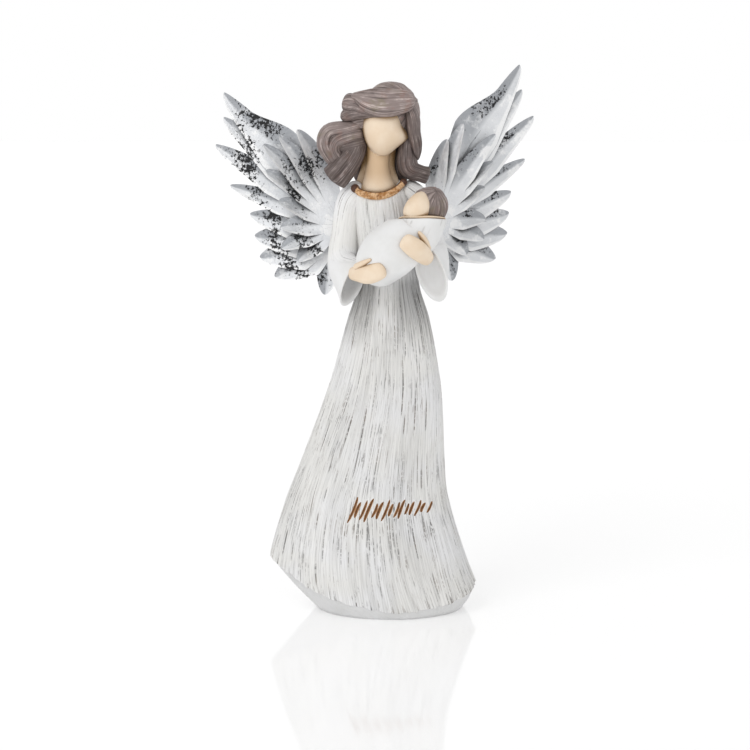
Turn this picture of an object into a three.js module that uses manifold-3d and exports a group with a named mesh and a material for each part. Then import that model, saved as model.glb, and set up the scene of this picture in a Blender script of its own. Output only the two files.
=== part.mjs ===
// Angel figurine: a mother in a long gown with a swaddled baby, cast in resin as one piece, and a pair of
// tin wings. Each wing is two stamped sheets, long feathers behind and short ones in front.
// Millimetres, +Z up. The figure looks along -Y, the origin is the middle of the foot, and left and right
// are the figure's own.
import * as THREE from "three";
import { LoftGeometry } from "three/addons/geometries/LoftGeometry.js";
import { mergeVertices } from "three/addons/utils/BufferGeometryUtils.js";
import Module from "manifold-3d";

// Driving dimensions
const FOOT = { halfWidth: 29, halfDepth: 24.5 };
const HEM_RISE = { mean: 11.3, right: 6.3, back: 1.8, sides: 4.9 };
const NECKLINE = { height: 169.8, backRise: 3.2, leftRise: 1 };
const FLUTES = { count: 8, depth: 0.6, fadeFrom: 60, fadeTo: 120 };
const WING_SEAT = { y: 7.4, bottom: 140, top: 164, width: 40, depth: 20 };
const SHEET = { thickness: 0.7, stagger: 0.05, bend: 3 };
const TAB = { angle: 180, start: -8, length: 17, below: 6.5, above: 6.5, stepFrom: 1, stepTo: -6 };

// How far the middle of each sheet and the end of its tab lie behind the seat, how deep its feathers are
// creased, and how far the edges of each feather are tilted
const SHEETS = {
  short: { y: 3.1, tabY: 0.8, valley: 0.7, tilt: 2 },
  long: { y: 5.7, tabY: 1.6, valley: 0.8, tilt: 0.7 },
};

// How a feather runs: the radians its spine sets off above its tip and the share of its length where it has
// turned, how its widths grow from the root and fall to the tip, where its shoulder ends, where its crease
// and tilt begin, and the shares of its length at which it is drawn
const FEATHER = {
  lift: 0.16,
  turned: 0.6,
  rootWidth: 0.2,
  widening: 1.6,
  taper: 0.5,
  shoulder: { from: 0.5, to: 0.8 },
  relief: { from: 0.2, to: 0.6, tip: 2.2 },
  stops: [0, 0.22, 0.45, 0.62, 0.76, 0.88, 0.96, 0.9996],
};

// The hollow in a sleeve's mouth: how far in or out of the mouth, in depths of the hollow, and how large as a
// share of the sleeve there
const MOUTH = [
  { out: -1, share: 0.4 },
  { out: -0.5, share: 0.7 },
  { out: 1, share: 0.86 },
];

// The gown's outline at a few heights: where its four sides are
const GOWN_STATIONS = [
  { at: 0, right: -49, left: 39, front: -28.5, back: 28 },
  { at: 20, right: -48.3, left: 30.8, front: -26.5, back: 25.5 },
  { at: 44, right: -41.7, left: 23.4, front: -22.5, back: 21.5 },
  { at: 60, right: -35.4, left: 21.7, front: -20, back: 19 },
  { at: 90, right: -24.4, left: 20.3, front: -16, back: 15.5 },
  { at: 117, right: -16.8, left: 15.6, front: -12, back: 12 },
  { at: 130, right: -13, left: 11.8, front: -9.8, back: 9.8 },
  { at: 145, right: -13.5, left: 10.5, front: -9.5, back: 9.2 },
  { at: 158, right: -15, left: 9.5, front: -8.8, back: 8.9 },
  { at: 166, right: -15.2, left: 7.7, front: -9.2, back: 7.8 },
  { at: 173, right: -12.5, left: 3.9, front: -7.6, back: 6.5 },
];

// Each wing's root on the back, how far each sheet sweeps back in degrees, and its feathers from the top
// down: angle above level, length, widths below and above the spine, and the shoulder in front of the first
const WINGS = {
  right: {
    side: -1,
    x: -20,
    z: 152,
    sweep: { long: 16, short: 12 },
    long: [
      { angle: 49, length: 71.5, below: 15.5, above: 2.2, shoulder: 6.5 },
      { angle: 43, length: 64.5, below: 12.3, above: 3.5 },
      { angle: 33, length: 60.4, below: 11.2, above: 3.5 },
      { angle: 20.3, length: 47.7, below: 8.9, above: 3.5 },
      { angle: 8, length: 37, below: 13, above: 3.5 },
      { angle: -6, length: 35, below: 17, above: 3.5 },
      { angle: -20.6, length: 35, below: 18, above: 3.5 },
      { angle: -37, length: 33.4, below: 16, above: 4 },
      { angle: -77, length: 27.6, below: 9, above: 7 },
    ],
    short: [
      { angle: 66.3, length: 43, below: 5, above: 8 },
      { angle: 56.6, length: 44.2, below: 6, above: 5.5 },
      { angle: 47.5, length: 45.5, below: 7, above: 5 },
      { angle: 37.5, length: 37.8, below: 5, above: 6 },
      { angle: 24, length: 27, below: 5.5, above: 6 },
      { angle: 0.8, length: 24, below: 6, above: 6.5 },
      { angle: -19.5, length: 25, below: 5.5, above: 6.5 },
      { angle: -37.8, length: 21.6, below: 6, above: 6.5 },
    ],
  },
  left: {
    side: 1,
    x: 18.2,
    z: 154,
    sweep: { long: 28, short: 23 },
    long: [
      { angle: 61.4, length: 71.8, below: 15, above: 2.2, shoulder: 7.5 },
      { angle: 56.3, length: 63.7, below: 12, above: 3.5 },
      { angle: 46.2, length: 58.4, below: 11, above: 3.5 },
      { angle: 33.9, length: 44.5, below: 8.5, above: 3.5 },
      { angle: 20.6, length: 33.4, below: 11, above: 3.5 },
      { angle: 5.9, length: 30.6, below: 14, above: 3.5 },
      { angle: -9.8, length: 30.2, below: 15, above: 3.5 },
      { angle: -31.7, length: 29.3, below: 14, above: 4 },
      { angle: -73.6, length: 24.4, below: 8.5, above: 6.5 },
    ],
    short: [
      { angle: 82, length: 34, below: 5, above: 7 },
      { angle: 74.5, length: 41.3, below: 6, above: 5.5 },
      { angle: 55.5, length: 43, below: 7, above: 5 },
      { angle: 46, length: 33.8, below: 5, above: 6 },
      { angle: 35, length: 24.6, below: 5.5, above: 6 },
      { angle: 3.6, length: 20.4, below: 6, above: 6.5 },
      { angle: -19, length: 21, below: 5.5, above: 6.5 },
      { angle: -45, length: 18, below: 6, above: 6.5 },
    ],
  },
};

const RESIN = { color: 0xe2e1de, roughness: 0.7, metalness: 0 };
const TIN = { color: 0xc9cbd0, roughness: 0.35, metalness: 0.85 };

const wasm = await Module();
wasm.setup();

// A closed geometry as a solid that can be joined and cut
function solidOf(geometry) {
  const bare = new THREE.BufferGeometry();
  bare.setAttribute("position", geometry.getAttribute("position"));
  bare.setIndex(geometry.getIndex());
  const merged = mergeVertices(bare, 1e-4);
  const mesh = new wasm.Mesh({
    numProp: 3,
    vertProperties: merged.attributes.position.array,
    triVerts: new Uint32Array(merged.index.array),
  });
  return new wasm.Manifold(mesh);
}

function skin(sections) {
  return solidOf(new LoftGeometry(sections, { capStart: true, capEnd: true }));
}

function join(solids) {
  return solids.reduce((whole, next) => whole.add(next));
}

// The same solid with any void that its parts enclose between them filled
function filled(solid) {
  return join(solid.decompose().filter((shell) => shell.volume() > 0));
}

function meshOf(solid, name, finish) {
  const made = solid.getMesh();
  const geometry = new THREE.BufferGeometry();
  geometry.setAttribute("position", new THREE.BufferAttribute(made.vertProperties, 3));
  geometry.setIndex(new THREE.BufferAttribute(made.triVerts, 1));
  const mesh = new THREE.Mesh(geometry, new THREE.MeshStandardMaterial(finish));
  mesh.name = name;
  return mesh;
}

// A value between stations, on a cubic curve whose slope at a station is that of its two neighbours
function between(stations, at, key) {
  const last = stations.length - 1;
  const next = stations.findIndex((station) => station.at >= at);
  const i = THREE.MathUtils.clamp(next < 0 ? last - 1 : next - 1, 0, last - 1);
  const slope = (k) => {
    const before = stations[Math.max(k - 1, 0)];
    const after = stations[Math.min(k + 1, last)];
    return (after[key] - before[key]) / (after.at - before.at);
  };
  const [a, b] = [stations[i], stations[i + 1]];
  const span = b.at - a.at;
  const t = THREE.MathUtils.clamp((at - a.at) / span, 0, 1);
  const rise = b[key] - a[key];
  const bow = (slope(i) * span - rise) * (1 - t) + (rise - slope(i + 1) * span) * t;
  return a[key] + t * rise + t * (1 - t) * bow;
}

// Points once around, starting at +X and going through +Y
function ring(sides, pointAt) {
  return Array.from({ length: sides }, (_, k) => pointAt((k / sides) * 2 * Math.PI));
}

// A rounded limb: an oval carried along a curve through stations, each x, y, z of its middle, then its half
// width along the across direction, which may be given station by station, and its half thickness square to
// that. Its ends are domed over the given shares of its length, and towards its end it can turn to face a
// given way.
function limb(shape) {
  const { stations, across = [0, 1, 0], sides = 7, steps = 5, startDome = 0.12, endDome = 0.12 } = shape;
  const { facing, turnFrom = 0.55 } = shape;
  const last = stations.length - 1;
  const path = new THREE.CatmullRomCurve3(stations.map(([x, y, z]) => new THREE.Vector3(x, y, z)));
  const ways = Array.isArray(across[0]) ? across : stations.map(() => across);
  const knots = stations.map(([, , , width, thickness], k) => {
    const [acrossX, acrossY, acrossZ] = ways[k];
    return { at: k / last, width, thickness, acrossX, acrossY, acrossZ };
  });
  const dome = (distance, reach) => Math.sqrt(Math.max(1 - Math.max(1 - distance / reach, 0) ** 2, 0.01));
  const sections = Array.from({ length: steps + 1 }, (_, k) => {
    const t = 0.5 - 0.5 * Math.cos((Math.PI * k) / steps);
    const middle = path.getPoint(t);
    const along = path.getTangent(t);
    if (facing) {
      const towards = new THREE.Vector3(...facing).normalize();
      along.lerp(towards, THREE.MathUtils.smoothstep(t, turnFrom, 1)).normalize();
    }
    const wide = new THREE.Vector3(
      between(knots, t, "acrossX"),
      between(knots, t, "acrossY"),
      between(knots, t, "acrossZ"),
    );
    wide.projectOnPlane(along).normalize();
    const thick = along.clone().cross(wide);
    const ends = dome(t, startDome) * dome(1 - t, endDome);
    const halfWidth = between(knots, t, "width") * ends;
    const halfThickness = between(knots, t, "thickness") * ends;
    return ring(sides, (turn) =>
      middle
        .clone()
        .addScaledVector(wide, halfWidth * Math.cos(turn))
        .addScaledVector(thick, halfThickness * Math.sin(turn)),
    );
  });
  return skin(sections);
}

function egg(middle, halfSizes, sides = 10) {
  const rows = Math.round(sides * 0.7);
  const geometry = new THREE.SphereGeometry(1, sides, rows);
  geometry.rotateX(Math.PI / 2);
  geometry.scale(...halfSizes);
  geometry.translate(...middle);
  return solidOf(geometry);
}

// The gown: a flat foot, a bevel out to the hem, which climbs towards the figure's right, and the long
// fluted skirt that narrows to the waist and runs on as the bodice, up to a sloping neckline
function gown() {
  const sides = 40;
  const rows = 12;
  const hemHeight = (turn) =>
    HEM_RISE.mean -
    HEM_RISE.right * Math.cos(turn) +
    HEM_RISE.back * Math.sin(turn) +
    HEM_RISE.sides * Math.cos(2 * turn);
  const neckHeight = (turn) =>
    NECKLINE.height + NECKLINE.backRise * Math.sin(turn) + NECKLINE.leftRise * Math.cos(turn);
  const outline = (turn, height) => {
    const [right, left, front, back] = ["right", "left", "front", "back"].map((key) =>
      between(GOWN_STATIONS, height, key),
    );
    const fade = 1 - THREE.MathUtils.smoothstep(height, FLUTES.fadeFrom, FLUTES.fadeTo);
    const flute = FLUTES.depth * fade * Math.sin(FLUTES.count * turn);
    return new THREE.Vector3(
      (left + right) / 2 + ((left - right) / 2 + flute) * Math.cos(turn),
      (front + back) / 2 + ((back - front) / 2 + flute) * Math.sin(turn),
      height,
    );
  };
  const foot = ring(
    sides,
    (turn) => new THREE.Vector3(FOOT.halfWidth * Math.cos(turn), FOOT.halfDepth * Math.sin(turn), 0),
  );
  const body = Array.from({ length: rows + 1 }, (_, k) =>
    ring(sides, (turn) => outline(turn, THREE.MathUtils.lerp(hemHeight(turn), neckHeight(turn), k / rows))),
  );
  return skin([foot, ...body]);
}

// A bell sleeve: a limb from the shoulder over the elbow to a wide drooping mouth, hollowed at the mouth
// along the way the arm runs
function sleeve({ stations, across, facing, hollow }) {
  const outside = limb({ stations, across, facing, sides: 12, steps: 8, endDome: 0.02 });
  const [before, mouth] = stations.slice(-2).map(([x, y, z]) => new THREE.Vector3(x, y, z));
  const outward = mouth.clone().sub(before).normalize();
  const [width, thickness] = stations.at(-1).slice(3);
  const inside = limb({
    stations: MOUTH.map(({ out, share }) => [
      ...mouth.clone().addScaledVector(outward, out * hollow).toArray(),
      width * share,
      thickness * share,
    ]),
    across: across.at(-1),
    facing,
    turnFrom: 0,
    sides: 10,
    steps: 4,
    endDome: 0.02,
  });
  return outside.subtract(inside);
}

function sleeves() {
  const right = sleeve({
    stations: [
      [-9.5, 0.5, 169.6, 5, 4.2],
      [-15.4, 0.5, 164.2, 6, 5.6],
      [-17.6, 0.3, 151, 6, 5.8],
      [-18.6, -3, 139, 7, 6],
      [-14.6, -10.5, 132.2, 9.4, 5.6],
    ],
    across: [
      [0, 1, 0.1],
      [0, 1, 0.1],
      [0, 1, -0.2],
      [-0.15, 0.6, -0.75],
      [-0.3, -0.1, -0.95],
    ],
    facing: [0.72, -0.62, -0.3],
    hollow: 5.6,
  });
  const left = sleeve({
    stations: [
      [3.5, 0.5, 170.4, 5, 4.2],
      [10.2, 0.5, 164.2, 6, 5.6],
      [14.6, -0.3, 152, 6, 5.6],
      [17.2, -4.5, 141.5, 8.5, 5.8],
      [16, -13.5, 136.3, 11.6, 5.7],
    ],
    across: [
      [0, 1, 0.1],
      [0, 1, 0.1],
      [0, 1, -0.2],
      [0.15, 0.6, -0.75],
      [0.28, 0.05, -0.95],
    ],
    facing: [-0.35, -0.9, -0.25],
    hollow: 3,
  });
  return right.add(left);
}

// Mitten hands: a palm with closed fingers, and a slim thumb
function hands() {
  const rightPalm = {
    across: [0.1, 0.1, 1],
    stations: [
      [-15, -12, 136.2, 2.4, 2.4],
      [-12.2, -18, 136.8, 3.2, 2.7],
      [-8.8, -22.6, 137.1, 3.9, 2.7],
      [-5, -25.4, 138.3, 3.6, 2.3],
      [-2.1, -26.4, 139.7, 2.7, 1.6],
    ],
  };
  const rightThumb = {
    across: [0.2, 0.1, 1],
    sides: 6,
    steps: 4,
    stations: [
      [-13.6, -18.5, 139.2, 1.5, 1.6],
      [-10.4, -23, 141.4, 1.15, 1.3],
      [-7.4, -25.2, 143.1, 0.55, 0.7],
    ],
  };
  const leftPalm = {
    across: [0.64, 0, 0.77],
    stations: [
      [14.6, -14, 142, 2.4, 2.4],
      [13.2, -21, 144, 3.3, 2.7],
      [10.4, -26.2, 146.8, 3.9, 2.6],
      [7, -28, 149.4, 3.6, 2.1],
      [4.4, -28.2, 151.3, 2.7, 1.5],
    ],
  };
  const leftThumb = {
    across: [1, 0, 0.3],
    sides: 6,
    steps: 4,
    stations: [
      [14.6, -21, 146.6, 1.7, 1.6],
      [12.8, -25, 150.8, 1.35, 1.3],
      [10.8, -26.4, 154, 0.6, 0.7],
    ],
  };
  return join([rightPalm, rightThumb, leftPalm, leftThumb].map(limb));
}

// The baby: a swaddled bundle that opens flat around the neck, a rim of skin there, a plain round face and
// a cap of hair
function baby() {
  const slopes = [44, 44, 43, 34, 15, 1];
  const bundle = limb({
    stations: [
      [-11, -13.5, 134.5, 5.4, 5],
      [-6.4, -16, 138.8, 8.9, 8.2],
      [-0.8, -18, 144.6, 10.6, 9.2],
      [4.8, -18, 149.2, 10.4, 9],
      [9.8, -17, 152.6, 9.5, 8.3],
      [12.4, -15.6, 157.4, 9.7, 7.6],
    ],
    across: slopes.map((slope) => {
      const angle = THREE.MathUtils.degToRad(slope);
      return [Math.cos(angle), 0, -Math.sin(angle)];
    }),
    facing: [0, 0.16, 1],
    turnFrom: 0.7,
    sides: 14,
    steps: 9,
    startDome: 0.2,
    endDome: 0.02,
  });
  const collar = egg([12.4, -15.7, 158.2], [9.2, 7.2, 1.3]);
  const face = egg([10.9, -17.4, 162.9], [5.5, 6, 5.9]);
  const hair = egg([15.4, -13.6, 163], [7.3, 7.6, 7.5]);
  return join([bundle, collar, face, hair]);
}

// Head and neck, with a blank face that widens towards the left ear, and the crescent of trim at the
// neckline with a knot at each end
function head() {
  const neck = limb({
    stations: [
      [-4.6, -1.2, 163, 9.6, 6.6],
      [-4.6, -1, 167.6, 8.8, 6.8],
      [-4.8, -0.9, 171.6, 6.2, 6.2],
      [-5, -1.4, 177, 4.7, 5.2],
      [-4.4, -1.6, 190, 5.4, 5.6],
    ],
    across: [1, 0, 0],
    sides: 12,
    steps: 6,
  });
  const neckSides = limb({
    stations: [
      [-4.8, 1.4, 168, 9.6, 4.5],
      [-4.9, 2.2, 173, 8, 3.6],
      [-4.8, 2, 178.5, 6.6, 3.4],
      [-4.2, 1.6, 190, 7.2, 3.6],
    ],
    across: [1, 0, 0],
    sides: 10,
  });
  const face = egg([-3.2, -3.2, 193], [7.9, 8.4, 11.6], 14);
  const jaw = egg([1.6, -2.6, 189], [6.4, 5.4, 5], 10);
  const trim = limb({
    stations: [
      [-13.7, -4.8, 169.2, 1.2, 1],
      [-8.6, -8.7, 166.8, 1.5, 1],
      [-5, -9.3, 166.5, 1.5, 1],
      [-1.4, -8.8, 167.1, 1.5, 1],
      [5.2, -4.4, 171.5, 1.2, 1],
    ],
    across: [0, 0.35, 1],
    sides: 6,
    steps: 8,
    startDome: 0.03,
    endDome: 0.03,
  });
  const knots = [
    egg([-13.8, -4.8, 169.2], [1.75, 1.75, 1.75], 8),
    egg([5.2, -4.4, 171.6], [1.5, 1.5, 1.5], 8),
  ];
  return join([neck, neckSides, face, jaw, trim, ...knots]);
}

// Wind-blown hair: a cap over the skull, a fringe swept to the figure's right over a layer that flares out,
// a wave and a cut lock below it, a lock and a flipped curl on the left, and locks down the right and back
function hair() {
  const cap = egg([0.2, 3.4, 198.4], [11.6, 11.8, 12.6], 14);
  const fringe = [
    [9.4, -6.4, 203.8, 2.6, 3.2],
    [3.4, -10.4, 203.3, 2.8, 4.9],
    [-3, -11.5, 203, 2.8, 5.6],
    [-8.4, -10, 203.9, 2.7, 4.6],
    [-15.4, -5.4, 205.6, 1.6, 0.8],
  ];
  const browLayer = [
    [4, -8.6, 199, 2.4, 1.3],
    [-4, -9.8, 198.7, 2.4, 1.8],
    [-10, -7.8, 200, 2.8, 3],
    [-14.2, -5.6, 202.6, 2.9, 3.6],
    [-18, -4.6, 204.8, 2.2, 2.8],
  ];
  const browFlare = [
    [-5, -8.8, 198.4, 2.4, 1.6],
    [-10.4, -7.2, 198.6, 2.8, 2.2],
    [-15, -5.4, 198.4, 2.8, 2.9],
    [-19.4, -4.2, 196.8, 2.2, 2.4],
  ];
  const wave = [
    [-10, -0.5, 194.4, 3.6, 3],
    [-17.4, -3.2, 192.6, 4.8, 3.2],
    [-24, -3.2, 191.2, 4.6, 3.4],
    [-25.2, -2.8, 186.2, 4.4, 3.4],
    [-21.4, -2.2, 181.2, 4, 3],
  ];
  const waveMiddle = [
    [-10.6, -1.2, 190.6, 3.6, 3.2],
    [-16.4, -3.8, 189.6, 4.8, 3.2],
    [-21, -3.8, 187.6, 4.6, 3],
    [-21.8, -3.4, 183.8, 4.2, 2.8],
    [-18.6, -2.8, 181.4, 3.6, 2.4],
  ];
  const waveCore = [
    [-10.8, -0.8, 187.4, 3.6, 4.6],
    [-15, -2.8, 186.4, 4.4, 4.4],
    [-21.4, -2.4, 185, 3.4, 3.2],
  ];
  const waveRoot = [
    [-5, 0, 197, 5, 5],
    [-11, -1.6, 195.6, 5, 4.4],
    [-16.5, -2.2, 194.6, 3.6, 2.6],
  ];
  const cutLock = [
    [-11.4, -0.8, 190.4, 3, 3],
    [-14, -3.4, 183.4, 3.8, 4.4],
    [-18.4, -5, 177.2, 3.4, 5.2],
    [-23, -5.4, 172.2, 2.4, 5.7],
  ];
  const templeLock = [
    [-10.5, 2.4, 202, 4.4, 2.4],
    [-12.8, 2, 193, 5, 2.6],
    [-13.6, 1.6, 184, 4.6, 2.4],
    [-13.4, 1.4, 176.5, 3, 1.6],
  ];
  const sideLock = [
    [6.2, -4.5, 203.6, 3.6, 2],
    [8.6, -4.6, 197, 5, 2.9],
    [9.2, -4, 191.4, 5, 2.7],
    [10.2, -2.6, 186.2, 4.6, 2.4],
    [10.9, -1.8, 180.2, 2.8, 1.1],
  ];
  const curl = [
    [7.6, 0.5, 193, 4.6, 3],
    [6.6, -1.4, 181.6, 4.6, 4],
    [7.8, -1.8, 176.6, 4.2, 4],
    [12, -1, 174.8, 3.4, 3.4],
    [15.4, -0.4, 173.8, 2.6, 3.7],
  ];
  const squareEnded = [cutLock, curl].map((stations) => limb({ stations, endDome: 0.08 }));
  const aroundFace = [fringe, browLayer, browFlare, templeLock, sideLock];
  const waves = [wave, waveMiddle, waveCore, waveRoot];
  const roundEnded = [...aroundFace, ...waves].map((stations) => limb({ stations, endDome: 0.16 }));
  const behind = [-9.5, -2.5, 4.5].map((x, k) =>
    limb({
      across: [1, 0, 0],
      stations: [
        [x, 8.4, 201, 4.6, 4],
        [x - 0.8, 8.2, 189, 5, 4],
        [x - 1.2, 6.4, 179, 4.8, 3.8],
        [x - 2 + k, 5.6, 170, 3.2, 2.4],
      ],
    }),
  );
  return join([cap, ...squareEnded, ...roundEnded, ...behind]);
}

// The flat on the back where the tabs of the wings lie
function wingSeat() {
  const block = new THREE.BoxGeometry(WING_SEAT.width, WING_SEAT.depth, WING_SEAT.top - WING_SEAT.bottom);
  block.translate(0, WING_SEAT.y + WING_SEAT.depth / 2, (WING_SEAT.top + WING_SEAT.bottom) / 2);
  return solidOf(block);
}

function figure() {
  return join([gown(), sleeves(), hands(), baby(), head(), hair()]).subtract(wingSeat());
}

// One strip of a sheet along a bent spine from the wing's root to a tip. Its widths either side of the spine
// fall to nothing at the tip. A feather is creased down its middle and tilted so that its lower edge stands
// forward, and near the root it lies flat in the sheet. The tab steps down to lie on the back instead.
function blade(strip, index, side, sheet, sweep) {
  const { smoothstep, lerp, degToRad } = THREE.MathUtils;
  const angle = degToRad(strip.angle);
  const armAngle = angle + (strip === TAB ? 0 : FEATHER.lift);
  const spine = new THREE.QuadraticBezierCurve(
    new THREE.Vector2(Math.cos(angle), Math.sin(angle)).multiplyScalar(strip.start ?? 0),
    new THREE.Vector2(Math.cos(armAngle), Math.sin(armAngle)).multiplyScalar(strip.length * FEATHER.turned),
    new THREE.Vector2(Math.cos(angle), Math.sin(angle)).multiplyScalar(strip.length),
  );
  const slope = Math.tan(degToRad(sweep));
  const swept = (out) => (slope * (out + Math.hypot(out, SHEET.bend))) / 2;
  const stepDown = sheet.y - sheet.tabY;
  const tabStep = (out) => stepDown * smoothstep(-out, -TAB.stepFrom, -TAB.stepTo);
  const sections = FEATHER.stops.map((t) => {
    const middle = spine.getPoint(t);
    const along = spine.getTangent(t);
    const narrowing = (1 - t) ** FEATHER.taper;
    const spread = Math.min(1, FEATHER.rootWidth + FEATHER.widening * t);
    const shoulderLeft = 1 - smoothstep(t, FEATHER.shoulder.from, FEATHER.shoulder.to);
    const shoulder = (strip.shoulder ?? 0) * shoulderLeft;
    const low = -strip.below * narrowing * spread;
    const high = (strip.above * narrowing + shoulder) * spread;
    const tipFade = Math.min(1, FEATHER.relief.tip * narrowing);
    const shaped = smoothstep(t, FEATHER.relief.from, FEATHER.relief.to) * tipFade;
    const point = (across, thickness) => {
      const crease = (low + high) / 2;
      const offset = lerp(crease, across < 0 ? low : high, Math.abs(across));
      const out = middle.x - along.y * offset;
      const up = middle.y + along.x * offset;
      const feathered = shaped * (sheet.valley * Math.abs(across) - sheet.tilt * across);
      const relief = strip === TAB ? tabStep(out) : feathered;
      const forward = relief + SHEET.stagger * index + thickness;
      return new THREE.Vector3(side * out, swept(out) - forward, up);
    };
    const front = [-1, 0, 1].map((across) => point(across, SHEET.thickness));
    const back = [1, 0, -1].map((across) => point(across, 0));
    const section = [...front, ...back];
    return side > 0 ? section.reverse() : section;
  });
  return skin(sections);
}

// A whole sheet: its feathers and the flat tab that lies on the back, in one piece of tin
function wingSheet(name, kind, wing) {
  const sheet = SHEETS[kind];
  const strip = (shape, index) => blade(shape, index, wing.side, sheet, wing.sweep[kind]);
  const whole = filled(join([strip(TAB, 0), ...wing[kind].map(strip)]));
  const mesh = meshOf(whole, `${name}_wing_${kind}_feathers`, TIN);
  mesh.position.set(wing.x, WING_SEAT.y + sheet.y, wing.z);
  return mesh;
}

const angel = new THREE.Group();
angel.add(meshOf(figure(), "figure", RESIN));
for (const [name, wing] of Object.entries(WINGS)) {
  angel.add(wingSheet(name, "short", wing), wingSheet(name, "long", wing));
}

export default angel;
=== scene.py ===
import math

import bpy
import numpy as np
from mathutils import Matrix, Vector


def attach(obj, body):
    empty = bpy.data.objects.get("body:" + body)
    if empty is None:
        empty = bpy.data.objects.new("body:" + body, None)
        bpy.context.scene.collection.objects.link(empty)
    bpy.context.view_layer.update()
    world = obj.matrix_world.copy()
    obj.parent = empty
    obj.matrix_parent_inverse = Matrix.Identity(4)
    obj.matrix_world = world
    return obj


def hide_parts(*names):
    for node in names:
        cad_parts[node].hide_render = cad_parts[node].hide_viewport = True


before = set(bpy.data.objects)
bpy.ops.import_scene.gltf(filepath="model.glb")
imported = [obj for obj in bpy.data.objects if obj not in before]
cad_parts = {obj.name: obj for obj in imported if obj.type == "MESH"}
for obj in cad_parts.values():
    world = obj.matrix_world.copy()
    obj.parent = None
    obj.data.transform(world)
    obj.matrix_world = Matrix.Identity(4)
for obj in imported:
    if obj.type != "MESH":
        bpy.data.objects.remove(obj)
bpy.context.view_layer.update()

# The studio: a polished white floor that gives back a faint image of what stands on it, an even white
# surround that is dimmer overhead, one large soft lamp, and a long lens a metre away, a little above.
MM = 0.001


class Wire:
    """A shader socket in a sum: each operator adds the Math node that works the sum out."""

    def __init__(self, tree, socket=None):
        self.tree = tree
        self.socket = socket

    def feed(self, node, sockets):
        """Gives a node's inputs their values, or links them where the value is a wire."""
        for key, value in sockets.items():
            if isinstance(value, Wire):
                self.tree.links.new(value.socket, node.inputs[key])
            else:
                node.inputs[key].default_value = value

    def node(self, kind, settings, sockets, out=0):
        """Any node: its type, its settings, then what its inputs take. Gives one output back."""
        made = self.tree.nodes.new(kind)
        for key, value in settings.items():
            setattr(made, key, value)
        self.feed(made, sockets)
        return Wire(self.tree, made.outputs[out])

    def math(self, operation, *values):
        return self.node("ShaderNodeMath", {"operation": operation}, dict(enumerate(values)))

    def __add__(self, other):
        return self.math("ADD", self, other)

    __radd__ = __add__

    def __mul__(self, other):
        return self.math("MULTIPLY", self, other)

    __rmul__ = __mul__

    def __sub__(self, other):
        return self.math("SUBTRACT", self, other)

    def __rsub__(self, other):
        return self.math("SUBTRACT", other, self)

    def step(self, low, high):
        """0 below low, 1 above high, and an S-shaped rise between."""
        limits = {"Value": self, "From Min": low, "From Max": high}
        return self.node("ShaderNodeMapRange", {"interpolation_type": "SMOOTHSTEP"}, limits)

    def mix(self, first, second):
        """The first colour where this is 0, the second where it is 1."""
        return self.node("ShaderNodeMix", {"data_type": "RGBA"}, {0: self, 6: first, 7: second}, out=2)


def paint(red, green, blue):
    """A colour mixed on screen, 0 to 255 each, as the linear values that shaders take."""
    screen = np.array([red, green, blue]) / 255
    linear = np.where(screen <= 0.04045, screen / 12.92, ((screen + 0.055) / 1.055) ** 2.4)
    return (*linear.tolist(), 1.0)


scene = bpy.context.scene
scene.view_settings.view_transform = "Standard"

CAMERA_TARGET = Vector((-6, 0, 94.3)) * MM
CAMERA_DISTANCE = 1000 * MM
CAMERA_RISE = math.radians(8)
camera_data = bpy.data.cameras.new("camera")
camera_data.sensor_width = 36
camera_data.lens = 120
camera = bpy.data.objects.new("camera", camera_data)
towards_camera = Vector((0, -math.cos(CAMERA_RISE), math.sin(CAMERA_RISE)))
camera.location = CAMERA_TARGET + CAMERA_DISTANCE * towards_camera
camera.rotation_euler = (-towards_camera).to_track_quat("-Z", "Y").to_euler()
scene.collection.objects.link(camera)
scene.camera = camera

SKY_LEVEL = 1.0
SKY_DIM = 0.55
SKY_DIMS_BETWEEN = (0.25, 0.85)
world = bpy.data.worlds.new("studio")
world.use_nodes = True
scene.world = world
sky = Wire(world.node_tree)
upward = sky.node("ShaderNodeTexCoord", {}, {})
height_seen = sky.node("ShaderNodeSeparateXYZ", {}, {0: upward}, out="Z")
overhead = height_seen.step(*SKY_DIMS_BETWEEN)
sky.feed(
    world.node_tree.nodes["Background"],
    {"Color": (1, 1, 1, 1), "Strength": SKY_LEVEL - (SKY_LEVEL - SKY_DIM) * overhead},
)

LAMP_PLACE = Vector((-0.75, -1.0, 1.1))
LAMP_SIZE = 0.9
LAMP_POWER = 5.0
lamp_data = bpy.data.lights.new("softbox", "AREA")
lamp_data.size = LAMP_SIZE
lamp_data.energy = LAMP_POWER
lamp = bpy.data.objects.new("softbox", lamp_data)
lamp.location = LAMP_PLACE
lamp.rotation_euler = (CAMERA_TARGET - LAMP_PLACE).to_track_quat("-Z", "Y").to_euler()
scene.collection.objects.link(lamp)

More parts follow.
